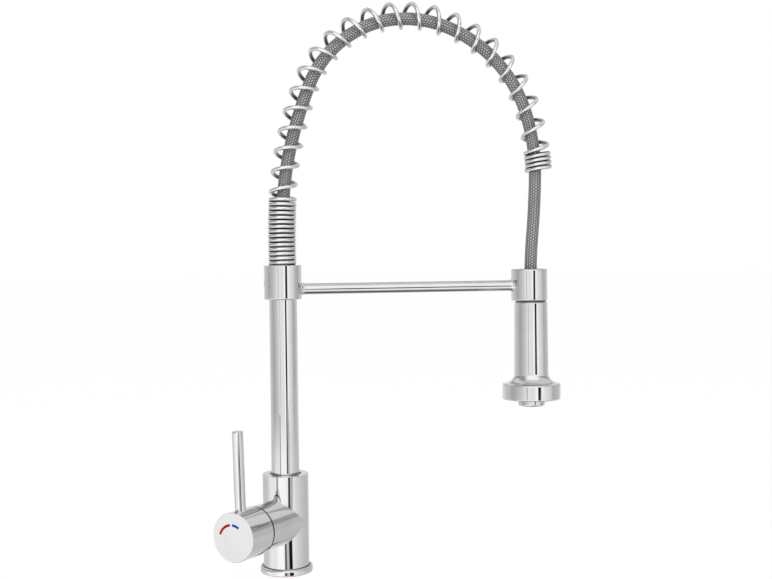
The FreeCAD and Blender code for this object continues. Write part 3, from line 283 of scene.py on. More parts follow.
def metalFinish(setup):
    material, tree, shader = newMaterial(setup["name"])
    marks = useGroup(tree, polishMarks, SmearScale=setup["smearScale"], LineScale=setup["lineScale"])
    shade = mathOf(tree, "MULTIPLY_ADD", marks.outputs["Lines"], lineShade, marks.outputs["Smear"])
    feed(tree, shader.inputs["Base Color"], mixColour(tree, shade, setup["bright"], setup["dull"]))
    feed(tree, shader.inputs["Roughness"], spread(tree, shade, *shadeLimits, *setup["rough"]))
    shader.inputs["Metallic"].default_value = 1.0
    bumpOn(tree, shader, marks.outputs["Height"], setup["bump"], polishDepth)
    return material


def mouldedFinish(setup):
    material, tree, shader = newMaterial(setup["name"])
    grain = useGroup(tree, fineGrain, GrainScale=setup["grainScale"])
    colour = mixColour(tree, grain.outputs["Cloud"], setup["light"], setup["dark"])
    feed(tree, shader.inputs["Base Color"], colour)
    rough = spread(tree, grain.outputs["Grain"], *grainLimits, *setup["rough"])
    feed(tree, shader.inputs["Roughness"], rough)
    bumpOn(tree, shader, grain.outputs["Grain"], setup["bump"], grainDepth)
    return material


finishes = {slot: metalFinish(setup) for slot, setup in metals.items()}
finishes.update({slot: mouldedFinish(setup) for slot, setup in mouldings.items()})

# brass pieces that show in a gap are given a grey metal, darker than the chrome, as painted shade in the
# gap
gapShadeNodes = ("head_neck", "hose_adapter", "spring_seat", "riser_foot")


def chromeBase(tree, shader, bright, dull):
    # chrome for a piece that has an area of its own: its colour and where it is smeared
    setup = metals["chrome"]
    marks = useGroup(tree, polishMarks, SmearScale=setup["smearScale"], LineScale=setup["lineScale"])
    shader.inputs["Metallic"].default_value = 1.0
    bumpOn(tree, shader, marks.outputs["Height"], setup["bump"], polishDepth)
    smear = marks.outputs["Smear"]
    return mixColour(tree, smear, bright, dull), smear


def plateWithArea(tree, shader, area, setup):
    # chrome that turns to another colour and goes matt over one area
    chrome = metals["chrome"]
    plate, smear = chromeBase(tree, shader, chrome["bright"], chrome["dull"])
    polished = spread(tree, smear, 0.0, 1.0, *chrome["rough"])
    feed(tree, shader.inputs["Base Color"], mixColour(tree, area, plate, setup["colour"]))
    feed(tree, shader.inputs["Roughness"], mathOf(tree, "MULTIPLY_ADD", area, setup["matt"], polished))


# the handle's direction about the column, its height and where the cap's face lies
handleAxis = {"angle": -132.25, "height": 48.8, "face": 81.7}

# the bevel round the cap's face is matt and light grey, a painted highlight along the face's edge; the
# rest is polished
capEdgeHighlight = {"start": 81.22, "end": 81.67, "matt": 0.55, "colour": (0.80, 0.80, 0.80, 1)}


def capFinish(setup):
    material, tree, shader = newMaterial("capPlate")
    angle = math.radians(handleAxis["angle"])
    along = addNode(tree, "ShaderNodeVectorMath", operation="DOT_PRODUCT")
    feed(tree, along.inputs[0], addNode(tree, "ShaderNodeTexCoord").outputs["Object"])
    along.inputs[1].default_value = (math.cos(angle), math.sin(angle), 0)
    past = mathOf(tree, "GREATER_THAN", along.outputs["Value"], setup["start"] * mm)
    short = mathOf(tree, "LESS_THAN", along.outputs["Value"], setup["end"] * mm)
    # painted highlight: the band over the bevel turns light grey and matt
    plateWithArea(tree, shader, mathOf(tree, "MULTIPLY", past, short), setup)
    return material


# painted shadow: a dark matt ring on the flange where the column stands on it, in place of the contact
# shade and dark reflection there
flangeContactShade = {"inner": 22.7, "outer": 23.8, "matt": 0.2, "colour": (0.10, 0.10, 0.10, 1)}


def flangeFinish(setup):
    material, tree, shader = newMaterial("flangePlate")
    flat = addNode(tree, "ShaderNodeVectorMath", operation="MULTIPLY")
    feed(tree, flat.inputs[0], addNode(tree, "ShaderNodeTexCoord").outputs["Object"])
    flat.inputs[1].default_value = (1, 1, 0)
    radius = addNode(tree, "ShaderNodeVectorMath", operation="LENGTH")
    feed(tree, radius.inputs[0], flat.outputs[0])
    limits = setup["inner"] * mm, setup["outer"] * mm
    # painted shadow: dark at the column's foot, fading out across the flat top
    contactShade = spread(tree, radius.outputs["Value"], *limits, 1.0, 0.0, True)
    plateWithArea(tree, shader, contactShade, setup)
    return material


ownFinish = {"handle_cap": capFinish(capEdgeHighlight), "base_ring": flangeFinish(flangeContactShade)}

for name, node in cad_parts.items():
    for holder in node.material_slots:
        holder.material = finishes.get(holder.material.name, holder.material)
        if name in gapShadeNodes:
            holder.material = finishes["gapGrey"]
        if name in ownFinish:
            holder.material = ownFinish[name]
print("finishes set on the CAD pieces")


# hose: braided, from the nipple on the riser along the inside of the spring into the head

braidedHose = {
    "route": [
        (0.0, 293.2), (-0.7, 322.0), (3.0, 379.8), (16.7, 435.7), (38.3, 490.0), (85.9, 525.9),
        (144.2, 530.9), (198.6, 506.7), (236.7, 463.3), (252.8, 405.7), (251.6, 349.0), (246.3, 291.3),
        (246.8, 262.4),
    ],
    "diameter": 12.4,
    "strands": 16,      # strands that run each way round the hose
    "lay": 45.6,        # length along the hose for one turn of a strand
    "lift": 0.17,       # strands rise and dip this much where they cross
    "crown": 0.13,      # strands are rounded this much across
    "wireLift": 0.025,  # the wires in a strand stand out this much
    "gapDepth": 0.16,   # below this height the braid gets painted shade, in the gaps and dips between strands
    "wires": 6,
    "around": 80,       # points in a ring of the mesh
    "ringGap": 0.515,
}


def smoothLine(name, route):
    # a NURBS spline with the route's points as its control points, read back as points
    curve = bpy.data.curves.new(name, "CURVE")
    curve.dimensions = "3D"
    curve.resolution_u = 64
    spline = curve.splines.new("NURBS")
    spline.points.add(len(route) - 1)
    for point, (x, z) in zip(spline.points, route):
        point.co = (x * mm, 0, z * mm, 1)
    spline.order_u = 3
    spline.use_endpoint_u = True
    guide = bpy.data.objects.new(name, curve)
    scene.collection.objects.link(guide)
    mesh = bpy.data.meshes.new_from_object(guide)
    line = np.array([vertex.co for vertex in mesh.vertices])
    bpy.data.objects.remove(guide)
    bpy.data.meshes.remove(mesh)
    return line


def alongLine(line, distances):
    # points and headings at the given distances along a line
    steps = np.linalg.norm(np.diff(line, axis=0), axis=1)
    length = np.concatenate([[0], np.cumsum(steps)])
    reach = 2 * mm

    def placeAt(where):
        return np.stack([np.interp(where, length, line[:, i]) for i in range(3)], axis=1)

    heading = placeAt(distances + reach) - placeAt(distances - reach)
    return placeAt(distances), heading / np.linalg.norm(heading, axis=1)[:, None]


def lineLength(line):
    return float(np.linalg.norm(np.diff(line, axis=0), axis=1).sum())


def braidRelief(setup, turn, along):
    # height of the upper strand, two over and two under, in columns along the hose
    count = setup["strands"]
    rightward = count * (turn - along)
    leftward = count * (turn + along)
    i, j = np.round(rightward), np.round(leftward)
    lift, crown = setup["lift"], setup["crown"]
    wave = 2 * np.pi / 4
    right = lift * np.cos(wave * (leftward + i - 0.5)) - crown * (2 * (rightward - i)) ** 2
    left = -lift * np.cos(wave * (rightward + j - 0.5)) - crown * (2 * (leftward - j)) ** 2
    return np.maximum(right, left)


def makeHose(setup):
    line = smoothLine("hoseLine", setup["route"])
    length = lineLength(line)
    rings = int(length / (setup["ringGap"] * mm)) + 1
    distances = np.linspace(0, length, rings)
    points, heading = alongLine(line, distances)
    side = np.stack([-heading[:, 2], np.zeros(rings), heading[:, 0]], axis=1)
    front = np.array([0, -1.0, 0])
    around = setup["around"]
    turn = np.arange(around) / around
    lay = distances / (setup["lay"] * mm)
    relief = braidRelief(setup, turn[None, :], lay[:, None])
    radius = (setup["diameter"] * 0.5 - setup["lift"] + relief) * mm
    angle = 2 * np.pi * turn
    offset = side[:, None, :] * np.cos(angle)[None, :, None] + front * np.sin(angle)[None, :, None]
    vertices = (points[:, None, :] + offset * radius[:, :, None]).reshape(-1, 3)
    faces = []
    for ring in range(rings - 1):
        low, high = ring * around, (ring + 1) * around
        for k in range(around):
            n = (k + 1) % around
            faces.append((low + k, low + n, high + n, high + k))
    faces.append(tuple(range(around - 1, -1, -1)))
    faces.append(tuple(range((rings - 1) * around, rings * around)))
    mesh = bpy.data.meshes.new("spray_hose_braid")
    mesh.from_pydata(vertices.tolist(), [], faces)
    layer = mesh.uv_layers.new(name="braidMap")
    sideFaces = around * (rings - 1)
    ring = np.repeat(np.arange(rings - 1), around)
    k = np.tile(np.arange(around), rings - 1)
    u = np.stack([k, k + 1, k + 1, k], axis=1) / around
    v = lay[np.stack([ring, ring, ring + 1, ring + 1], axis=1)]
    uv = np.zeros((len(mesh.loops), 2))
    uv[: sideFaces * 4] = np.stack([u, v], axis=2).reshape(-1, 2)
    layer.data.foreach_set("uv", uv.ravel())
    mesh.validate()
    mesh.update()
    hose = bpy.data.objects.new("spray_hose_braid", mesh)
    scene.collection.objects.link(hose)
    pick(hose)
    bpy.ops.object.mode_set(mode="EDIT")
    bpy.ops.mesh.select_all(action="SELECT")
    bpy.ops.mesh.normals_make_consistent(inside=False)
    bpy.ops.object.mode_set(mode="OBJECT")
    bpy.ops.object.shade_smooth()
    return hose, line, length


def braidGroup(setup):
    tree, start, end = newGroup("braidWeave", ["Wires"], ["Height", "GapShade", "Rib", "Wire"])
    split = addNode(tree, "ShaderNodeSeparateXYZ")
    uvMap = addNode(tree, "ShaderNodeUVMap", uv_map="braidMap")
    feed(tree, split.inputs[0], uvMap.outputs[0])
    turn, along = split.outputs[0], split.outputs[1]
    count = setup["strands"]
    rightward = mathOf(tree, "MULTIPLY", mathOf(tree, "SUBTRACT", turn, along), count)
    leftward = mathOf(tree, "MULTIPLY", mathOf(tree, "ADD", turn, along), count)
    i, j = mathOf(tree, "ROUND", rightward), mathOf(tree, "ROUND", leftward)
    across = {}
    level = {}
    for name, own, index, other, sign in (
        ("right", rightward, i, leftward, 1.0), ("left", leftward, j, rightward, -1.0),
    ):
        across[name] = mathOf(tree, "SUBTRACT", own, index)
        phase = mathOf(tree, "SUBTRACT", mathOf(tree, "ADD", other, index), 0.5)
        wave = mathOf(tree, "COSINE", mathOf(tree, "MULTIPLY", phase, math.pi / 2))
        crown = mathOf(tree, "POWER", mathOf(tree, "MULTIPLY", across[name], 2.0), 2.0)
        rise = mathOf(tree, "MULTIPLY", wave, sign * setup["lift"])
        level[name] = mathOf(tree, "SUBTRACT", rise, mathOf(tree, "MULTIPLY", crown, setup["crown"]))
    top = mathOf(tree, "MAXIMUM", level["right"], level["left"])
    rightOver = mathOf(tree, "GREATER_THAN", level["right"], level["left"])
    leftPart = mathOf(tree, "MULTIPLY", across["left"], mathOf(tree, "SUBTRACT", 1.0, rightOver))
    shown = mathOf(tree, "ADD", mathOf(tree, "MULTIPLY", across["right"], rightOver), leftPart)
    wires = mathOf(tree, "COSINE", mathOf(tree, "MULTIPLY", shown, start.outputs["Wires"]))
    feed(tree, end.inputs["Height"], mathOf(tree, "MULTIPLY_ADD", wires, setup["wireLift"], top))
    feed(tree, end.inputs["GapShade"], spread(tree, top, 0.0, setup["gapDepth"], 1.0, 0.0, True))
    feed(tree, end.inputs["Rib"], rightOver)
    feed(tree, end.inputs["Wire"], spread(tree, wires, -1.0, 1.0, 0.0, 1.0))
    return tree


braidTones = {
    "light": (0.42, 0.42, 0.41, 1),
    "worn": (0.35, 0.35, 0.345, 1),
    "ribHighlight": (0.58, 0.58, 0.57, 1),
    "wireCreaseShade": (0.2, 0.2, 0.195, 1),
    "gap": (0.075, 0.075, 0.073, 1),
    "ribHighlightShare": 0.4,
    "wireCreaseShare": 0.25,
    "rough": (0.34, 0.7),
    "metallic": 0.55,
    "smearScale": 60.0,
    "lineScale": 900.0,
    "bump": 0.5,
    "bumpDepth": 0.4,
}


def braidFinish(setup, tones):
    material, tree, shader = newMaterial("steelBraid")
    weave = useGroup(tree, braidGroup(setup), Wires=2 * math.pi * setup["wires"])
    marks = useGroup(tree, polishMarks, SmearScale=tones["smearScale"], LineScale=tones["lineScale"])
    colour = mixColour(tree, marks.outputs["Smear"], tones["light"], tones["worn"])
    # painted highlight: strands that run one way are lighter
    ribHighlight = mathOf(tree, "MULTIPLY", weave.outputs["Rib"], tones["ribHighlightShare"])
    colour = mixColour(tree, ribHighlight, colour, tones["ribHighlight"])
    # painted shade in the creases between the wires of a strand
    wire = mathOf(tree, "MULTIPLY", weave.outputs["Wire"], tones["wireCreaseShare"])
    colour = mixColour(tree, wire, colour, tones["wireCreaseShade"])
    # painted shade in the gaps and dips between strands
    gap = weave.outputs["GapShade"]
    feed(tree, shader.inputs["Base Color"], mixColour(tree, gap, colour, tones["gap"]))
    feed(tree, shader.inputs["Roughness"], spread(tree, gap, 0.0, 1.0, *tones["rough"]))
    shader.inputs["Metallic"].default_value = tones["metallic"]
    bumpOn(tree, shader, weave.outputs["Height"], tones["bump"], tones["bumpDepth"] * mm)
    return material


hose, hoseLine, hoseLength = makeHose(braidedHose)
hose.data.materials.append(braidFinish(braidedHose, braidTones))
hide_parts("spray_hose")
print("hose made, %.1f mm" % (hoseLength * 1000))


# spring: close turns over the riser, open turns along the arch, close turns over the head

archSpring = {
    "route": [
        (0.0, 294.4), (-0.6, 323.6), (2.1, 380.8), (14.7, 437.9), (35.8, 491.6), (84.0, 528.2),
        (141.9, 534.0), (196.3, 511.8), (237.7, 468.0), (253.6, 414.2), (256.1, 384.2),
    ],
    "wire": 4.05,
    "coil": 11.57,
    "closePitch": 4.25,
    "openPitch": (18.75, 22.3),
    "closeRun": 58.0,
    "closeEnd": 14.0,
    "openingRun": 13.0,
    "startTurn": 56.5,
    "lean": 0.6,        # close turns lean, so that they lie level in front
    "sunkTurns": 1.0,   # ground away where the wire meets the collar
    "seatGap": 0.03,
    "step": 0.05,       # the pitch is added up in steps of this length
    "perTurn": 48,
    "grooveUnder": (-0.3, -0.85),   # where painted shade darkens a wire towards the turn below, in wire radii
    "grooveOver": (0.75, 1.0),      # towards the turn above
    "grooveInner": (0.1, 0.8),      # and towards the hose
    "innerShade": 0.7,
    "grooveFade": 6.0,
}


def easeIn(share):
    share = np.clip(share, 0, 1)
    return share * share * (3 - 2 * share)


def paintGrooveShade(setup, spring, helix, points, heading, close):
    # painted shade: a wire is darker where close turns meet each other and on its inner side towards the
    # hose
    finder = KDTree(len(helix))
    for index, point in enumerate(helix):
        finder.insert(point, index)
    finder.balance()
    nearest = np.array([finder.find(vertex.co)[1] for vertex in spring.data.vertices])
    place = np.array([vertex.co for vertex in spring.data.vertices])
    offset = (place - helix[nearest]) / (setup["wire"] * 0.5 * mm)
    side = (offset * heading[nearest]).sum(axis=1)
    inward = (offset * (points - helix)[nearest]).sum(axis=1) / (setup["coil"] * mm)

    def shadeOver(value, limits):
        return easeIn((value - limits[0]) / (limits[1] - limits[0]))

    turnShade = np.maximum(shadeOver(side, setup["grooveUnder"]), shadeOver(side, setup["grooveOver"]))
    innerShade = shadeOver(inward, setup["grooveInner"]) * setup["innerShade"]
    grooveShade = np.maximum(turnShade * close[nearest], innerShade)
    layer = spring.data.attributes.new("grooveShade", "FLOAT", "POINT")
    layer.data.foreach_set("value", grooveShade.astype(np.float32))


wireTones = {
    "bright": (0.71, 0.71, 0.71, 1),
    "dull": (0.66, 0.665, 0.67, 1),
    "grooveShade": (0.07, 0.07, 0.07, 1),
    "rough": (0.02, 0.3),
}


def springFinish(tones):
    material, tree, shader = newMaterial("chromeWire")
    bare = chromeBase(tree, shader, tones["bright"], tones["dull"])[0]
    grooveShade = addNode(tree, "ShaderNodeAttribute", attribute_name="grooveShade").outputs["Fac"]
    # painted shade: the grooveShade attribute darkens the wire's colour
    feed(tree, shader.inputs["Base Color"], mixColour(tree, grooveShade, bare, tones["grooveShade"]))
    feed(tree, shader.inputs["Roughness"], spread(tree, grooveShade, 0.0, 1.0, *tones["rough"]))
    return material


def makeSpring(setup):
    line = smoothLine("springLine", setup["route"])
    length = lineLength(line) / mm
    step = setup["step"]
    sunk = setup["sunkTurns"] * setup["closePitch"]
    middle = np.arange(step / 2 - sunk, length, step)
    closeRun, closeEnd, opening = setup["closeRun"], setup["closeEnd"], setup["openingRun"]
    share = np.clip((middle - closeRun) / (length - closeRun - closeEnd), 0, 1)
    firstPitch, lastPitch = setup["openPitch"]
    wide = firstPitch + (lastPitch - firstPitch) * share
    opened = easeIn((middle - closeRun) / opening) * easeIn((length - closeEnd - middle) / opening)
    pitch = setup["closePitch"] + (wide - setup["closePitch"]) * opened
    phase = np.concatenate([[0], np.cumsum(2 * np.pi * step / pitch)])
    phase += math.radians(setup["startTurn"]) - 2 * np.pi * setup["sunkTurns"]
    count = int((phase[-1] - phase[0]) / (2 * np.pi) * setup["perTurn"])
    turns = np.linspace(phase[0], phase[-1], count)
    run = np.interp(turns, phase, np.arange(len(phase)) * step - sunk)
    onLine = np.clip(run, 0, length)
    points, heading = alongLine(line, onLine * mm)
    lean = setup["lean"] * np.cos(turns) * easeIn((closeRun + opening - run) / opening)
    points = points + heading * ((run - onLine + lean) * mm)[:, None]
    outward = np.stack([-heading[:, 2], np.zeros(count), heading[:, 0]], axis=1)
    front = np.array([0, -1.0, 0])
    around = outward * np.cos(turns)[:, None] + front * np.sin(turns)[:, None]
    helix = points + setup["coil"] * mm * around
    last = helix[-1] - helix[-2]
    helix = np.vstack([helix, helix[-1] + last / np.linalg.norm(last) * setup["wire"] * mm])
    curve = bpy.data.curves.new("spring_wire", "CURVE")
    curve.dimensions = "3D"
    spline = curve.splines.new("POLY")
    spline.points.add(len(helix) - 1)
    spline.points.foreach_set("co", np.hstack([helix, np.ones((len(helix), 1))]).ravel())
    curve.bevel_depth = setup["wire"] * 0.5 * mm
    curve.bevel_resolution = 7
    curve.use_fill_caps = True
    curve.twist_mode = "MINIMUM"
    spring = bpy.data.objects.new("spring_wire", curve)
    scene.collection.objects.link(spring)
    pick(spring)
    bpy.ops.object.convert(target="MESH")
    spring = bpy.context.object
    bpy.ops.object.mode_set(mode="EDIT")
    bpy.ops.mesh.select_all(action="SELECT")
    bpy.ops.mesh.remove_doubles(threshold=1e-6)
    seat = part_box("arm_collar")[1][2] + setup["seatGap"] * mm
    bpy.ops.mesh.bisect(plane_co=(0, 0, seat), plane_no=(0, 0, 1), use_fill=True, clear_inner=True)
    bpy.ops.mesh.select_all(action="SELECT")
    bpy.ops.mesh.normals_make_consistent(inside=False)
    bpy.ops.object.mode_set(mode="OBJECT")
    smoothByAngle(spring, 40)
    fade = setup["grooveFade"]
    close = easeIn((closeRun + fade - run) / fade) + easeIn((run - length + closeEnd + fade) / fade)
    rows = np.append(np.arange(count), count - 1)
    paintGrooveShade(setup, spring, helix, points[rows], heading[rows], close[rows])
    print("spring turns %.2f" % ((phase[-1] - phase[0]) / (2 * np.pi)))
    return spring


spring = makeSpring(archSpring)
spring.data.materials.clear()
spring.data.materials.append(springFinish(wireTones))
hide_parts("spring")
print("spring made, %d faces" % len(spring.data.polygons))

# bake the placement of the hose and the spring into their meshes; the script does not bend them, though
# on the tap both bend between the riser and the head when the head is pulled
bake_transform(hose)
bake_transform(spring)


# hot and cold arcs let into the face of the handle cap

faceMarks = {
    "centre": (-0.9, -2.8),     # to the viewer's right and up from the face's middle
    "radius": 14.1,
    "width": 2.35,
    "depth": 0.3,
    "proud": 0.06,
    "vertices": 720,
    "round": 0.05,
    "roundSteps": 2,
}
hotMark = {
    "span": (98.5, 161.5),
    "light": (0.36, 0.0006, 0.0006, 1),
    "dark": (0.31, 0.0006, 0.0006, 1),
}
coldMark = {
    "span": (57.0, 89.0),
    "light": (0.0006, 0.045, 0.47, 1),
    "dark": (0.0006, 0.038, 0.42, 1),
}
paint = {"grainScale": 2400.0, "rough": (0.38, 0.52), "shine": 0.05}


def faceMatrix(along, right=0.0, up=0.0):
    # a place on the handle's axis, or beside it, at a distance from the column's axis
    angle = math.radians(handleAxis["angle"])
    outward = Vector((math.cos(angle), math.sin(angle), 0))
    upward = Vector((0, 0, 1))
    across = upward.cross(outward)
    centre = outward * along * mm + upward * handleAxis["height"] * mm
    centre += across * right * mm + upward * up * mm
    turn = Matrix((across, upward, outward)).transposed().to_4x4()
    return Matrix.Translation(centre) @ turn


def paintFinish(name, light, dark):
    material, tree, shader = newMaterial(name)
    grain = useGroup(tree, fineGrain, GrainScale=paint["grainScale"])
    feed(tree, shader.inputs["Base Color"], mixColour(tree, grain.outputs["Cloud"], light, dark))
    rough = spread(tree, grain.outputs["Grain"], *grainLimits, *paint["rough"])
    feed(tree, shader.inputs["Roughness"], rough)
    shader.inputs["Specular IOR Level"].default_value = paint["shine"]
    return material


def keepSpan(band, span):
    # leaves the part of a circle between two angles
    bpy.ops.object.mode_set(mode="EDIT")
    bpy.ops.mesh.select_all(action="DESELECT")
    bpy.ops.object.mode_set(mode="OBJECT")
    for vertex in band.data.vertices:
        angle = math.degrees(math.atan2(vertex.co.y, vertex.co.x))
        vertex.select = not span[0] <= angle <= span[1]
    bpy.ops.object.mode_set(mode="EDIT")
    bpy.ops.mesh.delete(type="VERT")
    bpy.ops.object.mode_set(mode="OBJECT")


def makeBand(name, setup, inner, outer, depth, matrix, span=None):
    # a flat band with soft edges, whole or between two angles
    deselectAll()
    bpy.ops.mesh.primitive_circle_add(vertices=setup["vertices"], radius=inner * mm, fill_type="NOTHING")
    band = bpy.context.object
    band.name = band.data.name = name
    if span:
        keepSpan(band, span)
    bpy.ops.object.mode_set(mode="EDIT")
    bpy.ops.mesh.select_all(action="SELECT")
    bpy.ops.mesh.extrude_region_move()
    grow = outer / inner
    bpy.ops.transform.resize(value=(grow, grow, 1), center_override=(0, 0, 0))
    bpy.ops.mesh.select_all(action="SELECT")
    bpy.ops.mesh.extrude_region_move(TRANSFORM_OT_translate={"value": (0, 0, depth * mm)})
    bpy.ops.mesh.select_all(action="SELECT")
    bpy.ops.mesh.normals_make_consistent(inside=False)
    bpy.ops.object.mode_set(mode="OBJECT")
    soft = band.modifiers.new("softEdges", "BEVEL")
    soft.width = setup["round"] * mm
    soft.segments = setup["roundSteps"]
    soft.limit_method = "ANGLE"
    soft.angle_limit = math.radians(40)
    bpy.ops.object.modifier_apply(modifier=soft.name)
    settle(band, matrix)
    smoothByAngle(band, 35)
    return band


def makeMark(name, setup, mark, material):
    inner = setup["radius"] - setup["width"] * 0.5
    outer = setup["radius"] + setup["width"] * 0.5
    sunk = Matrix.Translation((0, 0, (setup["proud"] - setup["depth"]) * mm))
    matrix = faceMatrix(handleAxis["face"], *setup["centre"]) @ sunk
    arc = makeBand(name, setup, inner, outer, setup["depth"], matrix, mark["span"])
    arc.data.materials.append(material)
    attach(arc, "handle")


makeMark("hot_mark", faceMarks, hotMark, paintFinish("hotRed", hotMark["light"], hotMark["dark"]))
makeMark("cold_mark", faceMarks, coldMark, paintFinish("coldBlue", coldMark["light"], coldMark["dark"]))
print("marks made")


# thin black ring on the front edge of the housing, which darkens the seam behind the cap

seamRing = {
    "inner": 21.7,
    "outer": 22.15,
    "start": 48.2,      # from the column's axis
    "end": 49.62,
    "vertices": 160,
    "round": 0.12,
    "roundSteps": 3,
}


def makeSeamRing(setup):
    depth = setup["end"] - setup["start"]
    matrix = faceMatrix(setup["start"])
    ring = makeBand("seam_ring", setup, setup["inner"], setup["outer"], depth, matrix)
    ring.data.materials.append(finishes["rubber"])
    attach(ring, "column")


makeSeamRing(seamRing)
print("seam ring made")


# white studio: pale floor, soft lamps, and a surround that the chrome mirrors

studio = {
    "floorSize": 40.0,
    "floorDrop": 0.0003,
    "floorColour": (0.82, 0.82, 0.82, 1),
    "floorGlow": 0.97,
    "overhead": 0.92,
    "below": 0.14,
    "sway": 5.0,        # the edges of the surround waver by a few degrees
    "swayScale": 9.0,
}

# brightness round the object, by angle from the camera towards its right
surround = {
    "walls": [
        (-180, 0.95), (-140, 0.95), (-125, 0.8), (-98, 0.74), (-94, 0.56), (-65, 0.72), (-42, 0.94),
        (-32, 1.15), (-15, 1.2), (0, 1.15), (6, 1.2), (12, 1.45), (36, 1.45), (46, 1.2), (66, 1.02),
        (80, 0.86), (86, 0.64), (120, 0.74), (140, 0.88), (180, 0.95),
    ],
    "table": [
        (-180, 0.85), (-140, 0.78), (-100, 0.9), (-75, 1.27), (-50, 1.24), (-30, 1.5), (5, 1.42),
        (18, 1.3), (40, 1.25), (65, 1.0), (95, 0.84), (130, 0.72), (180, 0.85),
    ],
    "upper": [
        (-180, 0.9), (-140, 0.6), (-100, 0.35), (-65, 0.4), (-45, 0.8), (-28, 1.5), (15, 1.5),
        (40, 1.0), (60, 0.5), (95, 0.4), (140, 0.6), (180, 0.9),
    ],
    "high": [
        (-180, 0.5), (-158, 0.55), (-140, 0.95), (-112, 0.95), (-95, 0.5), (-60, 0.45), (-30, 1.4),
        (36, 1.4), (56, 0.9), (100, 0.85), (140, 0.95), (158, 0.55), (180, 0.5),
    ],
    "strips": [
        (-180, 1.0), (-27, 1.0), (-24, 0.4), (-21, 1.0), (18, 1.0), (21, 0.01), (31, 0.01), (34, 1.0),
        (180, 1.0),
    ],
    "slits": [
        (-180, 1.0), (17, 1.0), (19, 0.02), (25, 0.02), (28, 0.3), (32, 0.8), (36, 0.4), (40, 0.4),
        (43, 1.0), (180, 1.0),
    ],
    "stand": [
        (-180, 1.0), (-4, 1.0), (-2, 0.12), (6, 0.12), (9, 0.6), (17, 0.6), (20, 0.01), (35, 0.01),
        (38, 1.0), (180, 1.0),
    ],
}

# degrees of elevation over which one band of the surround gives way to the next
bandEdges = {
    "table": (-7.0, -11.0),
    "upper": (6.0, 12.0),
    "high": (20.0, 26.0),
    "overhead": (46.0, 66.0),
    "below": (-40.0, -75.0),
    "stripsTop": (-0.2, 1.4),
    "slits": (-6.5, -8.5),
    "stand": (-11.8, -13.0),
    "standFoot": (-17.0, -21.0),
}

lamps = {
    "topSoftbox": {"place": (0.1, -0.3, 1.9), "aim": (0.12, 0, 0.2), "size": (1.8, 1.8), "watts": 18},
    "frontSoftbox": {"place": (-1.1, -1.5, 0.9), "aim": (0.12, 0, 0.3), "size": (1.2, 1.2), "watts": 10},
}


def grey(tone):
    return tone, tone, tone, 1


def makeFloor(setup):
    deselectAll()
    bpy.ops.mesh.primitive_plane_add(size=setup["floorSize"], location=(0, 0, -setup["floorDrop"]))
    floor = bpy.context.object
    floor.name = "paleFloor"
    material, tree, shader = newMaterial("paleFloor")
    tree.nodes.remove(shader)
    matt = addNode(tree, "ShaderNodeBsdfDiffuse")
    matt.inputs["Color"].default_value = setup["floorColour"]
    glow = addNode(tree, "ShaderNodeEmission")
    glow.inputs["Color"].default_value = grey(1)
    light = addNode(tree, "ShaderNodeLightPath")
    share = mathOf(tree, "MULTIPLY", light.outputs["Is Camera Ray"], setup["floorGlow"])
    mix = addNode(tree, "ShaderNodeMixShader")
    feed(tree, mix.inputs[0], share)
    tree.links.new(matt.outputs[0], mix.inputs[1])
    tree.links.new(glow.outputs[0], mix.inputs[2])
    tree.links.new(mix.outputs[0], tree.nodes["Material Output"].inputs["Surface"])
    floor.data.materials.append(material)
    floor.visible_glossy = False


def toneRound(tree, share, tones):
    ramp = addNode(tree, "ShaderNodeValToRGB")
    ramp.color_ramp.interpolation = "LINEAR"
    stops = ramp.color_ramp.elements
    stops[0].position, stops[0].color = 0.0, grey(tones[0][1])
    stops[1].position, stops[1].color = 1.0, grey(tones[-1][1])
    for degrees, tone in tones[1:-1]:
        stop = stops.new((degrees + 180) / 360)
        stop.color = grey(tone)
    feed(tree, ramp.inputs[0], share)
    return ramp.outputs[0]


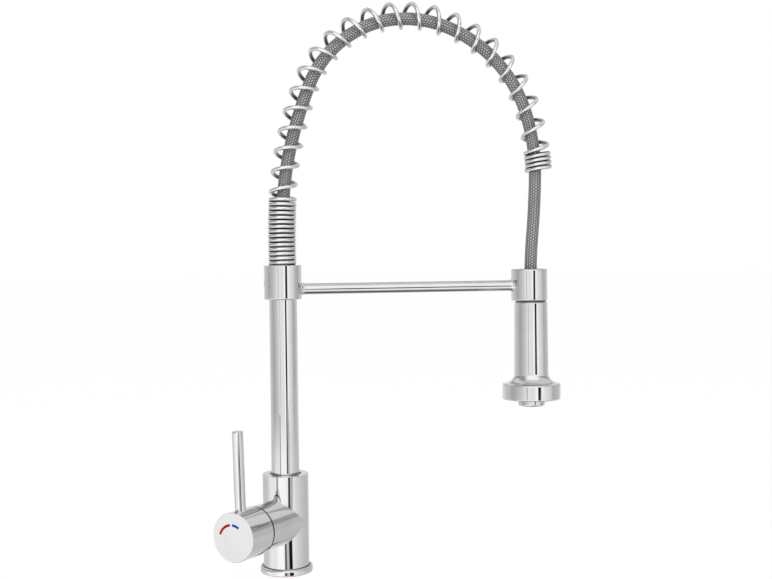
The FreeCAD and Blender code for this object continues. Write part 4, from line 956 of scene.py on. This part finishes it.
def makeSurround(setup, tones, edges):
    world = bpy.data.worlds.new("whiteStudio")
    scene.world = world
    world.use_nodes = True
    tree = world.node_tree
    background = tree.nodes["Background"]
    direction = addNode(tree, "ShaderNodeTexCoord").outputs["Generated"]
    turned = addNode(tree, "ShaderNodeVectorRotate", rotation_type="Z_AXIS")
    feed(tree, turned.inputs["Vector"], direction)
    turned.inputs["Angle"].default_value = -math.radians(cameraSetup["yaw"])
    split = addNode(tree, "ShaderNodeSeparateXYZ")
    feed(tree, split.inputs[0], turned.outputs[0])
    toCamera = mathOf(tree, "MULTIPLY", split.outputs[1], -1.0)
    angle = mathOf(tree, "ARCTAN2", split.outputs[0], toCamera)
    waver = mathOf(tree, "SUBTRACT", noiseOf(tree, direction, setup["swayScale"], 1.0), 0.5)
    angle = mathOf(tree, "MULTIPLY_ADD", waver, math.radians(setup["sway"]), angle)
    share = spread(tree, angle, -math.pi, math.pi, 0.0, 1.0)
    rise = mathOf(tree, "DEGREES", mathOf(tree, "ARCSINE", split.outputs[2]))

    def band(name):
        return toneRound(tree, share, tones[name])

    def layer(under, edge, over):
        return mixColour(tree, spread(tree, rise, *edges[edge], 0.0, 1.0, True), under, over)

    lit = band("walls")
    for name in ("table", "upper", "high"):
        lit = layer(lit, name, band(name))
    for name in ("overhead", "below"):
        lit = layer(lit, name, grey(setup[name]))
    strips = layer(band("strips"), "stripsTop", grey(1))
    for name in ("slits", "stand"):
        strips = layer(strips, name, band(name))
    strips = layer(strips, "standFoot", grey(1))
    dark = addNode(tree, "ShaderNodeMix", data_type="RGBA", blend_type="MULTIPLY")
    dark.inputs[0].default_value = 1.0
    feed(tree, dark.inputs[6], lit)
    feed(tree, dark.inputs[7], strips)
    light = addNode(tree, "ShaderNodeLightPath")
    shown = mixColour(tree, light.outputs["Is Camera Ray"], dark.outputs[2], grey(1))
    feed(tree, background.inputs["Color"], shown)


def makeLamp(name, setup):
    data = bpy.data.lights.new(name, "AREA")
    data.shape = "RECTANGLE"
    data.size, data.size_y = setup["size"]
    data.energy = setup["watts"]
    lamp = bpy.data.objects.new(name, data)
    scene.collection.objects.link(lamp)
    place = Vector(setup["place"])
    lamp.location = place
    lamp.rotation_mode = "QUATERNION"
    lamp.rotation_quaternion = (Vector(setup["aim"]) - place).to_track_quat("-Z", "Y")
    lamp.visible_glossy = False
    lamp.visible_camera = False


makeFloor(studio)
makeSurround(studio, surround, bandEdges)
for name, setup in lamps.items():
    makeLamp(name, setup)
scene.view_settings.view_transform = "Standard"
print("studio set")
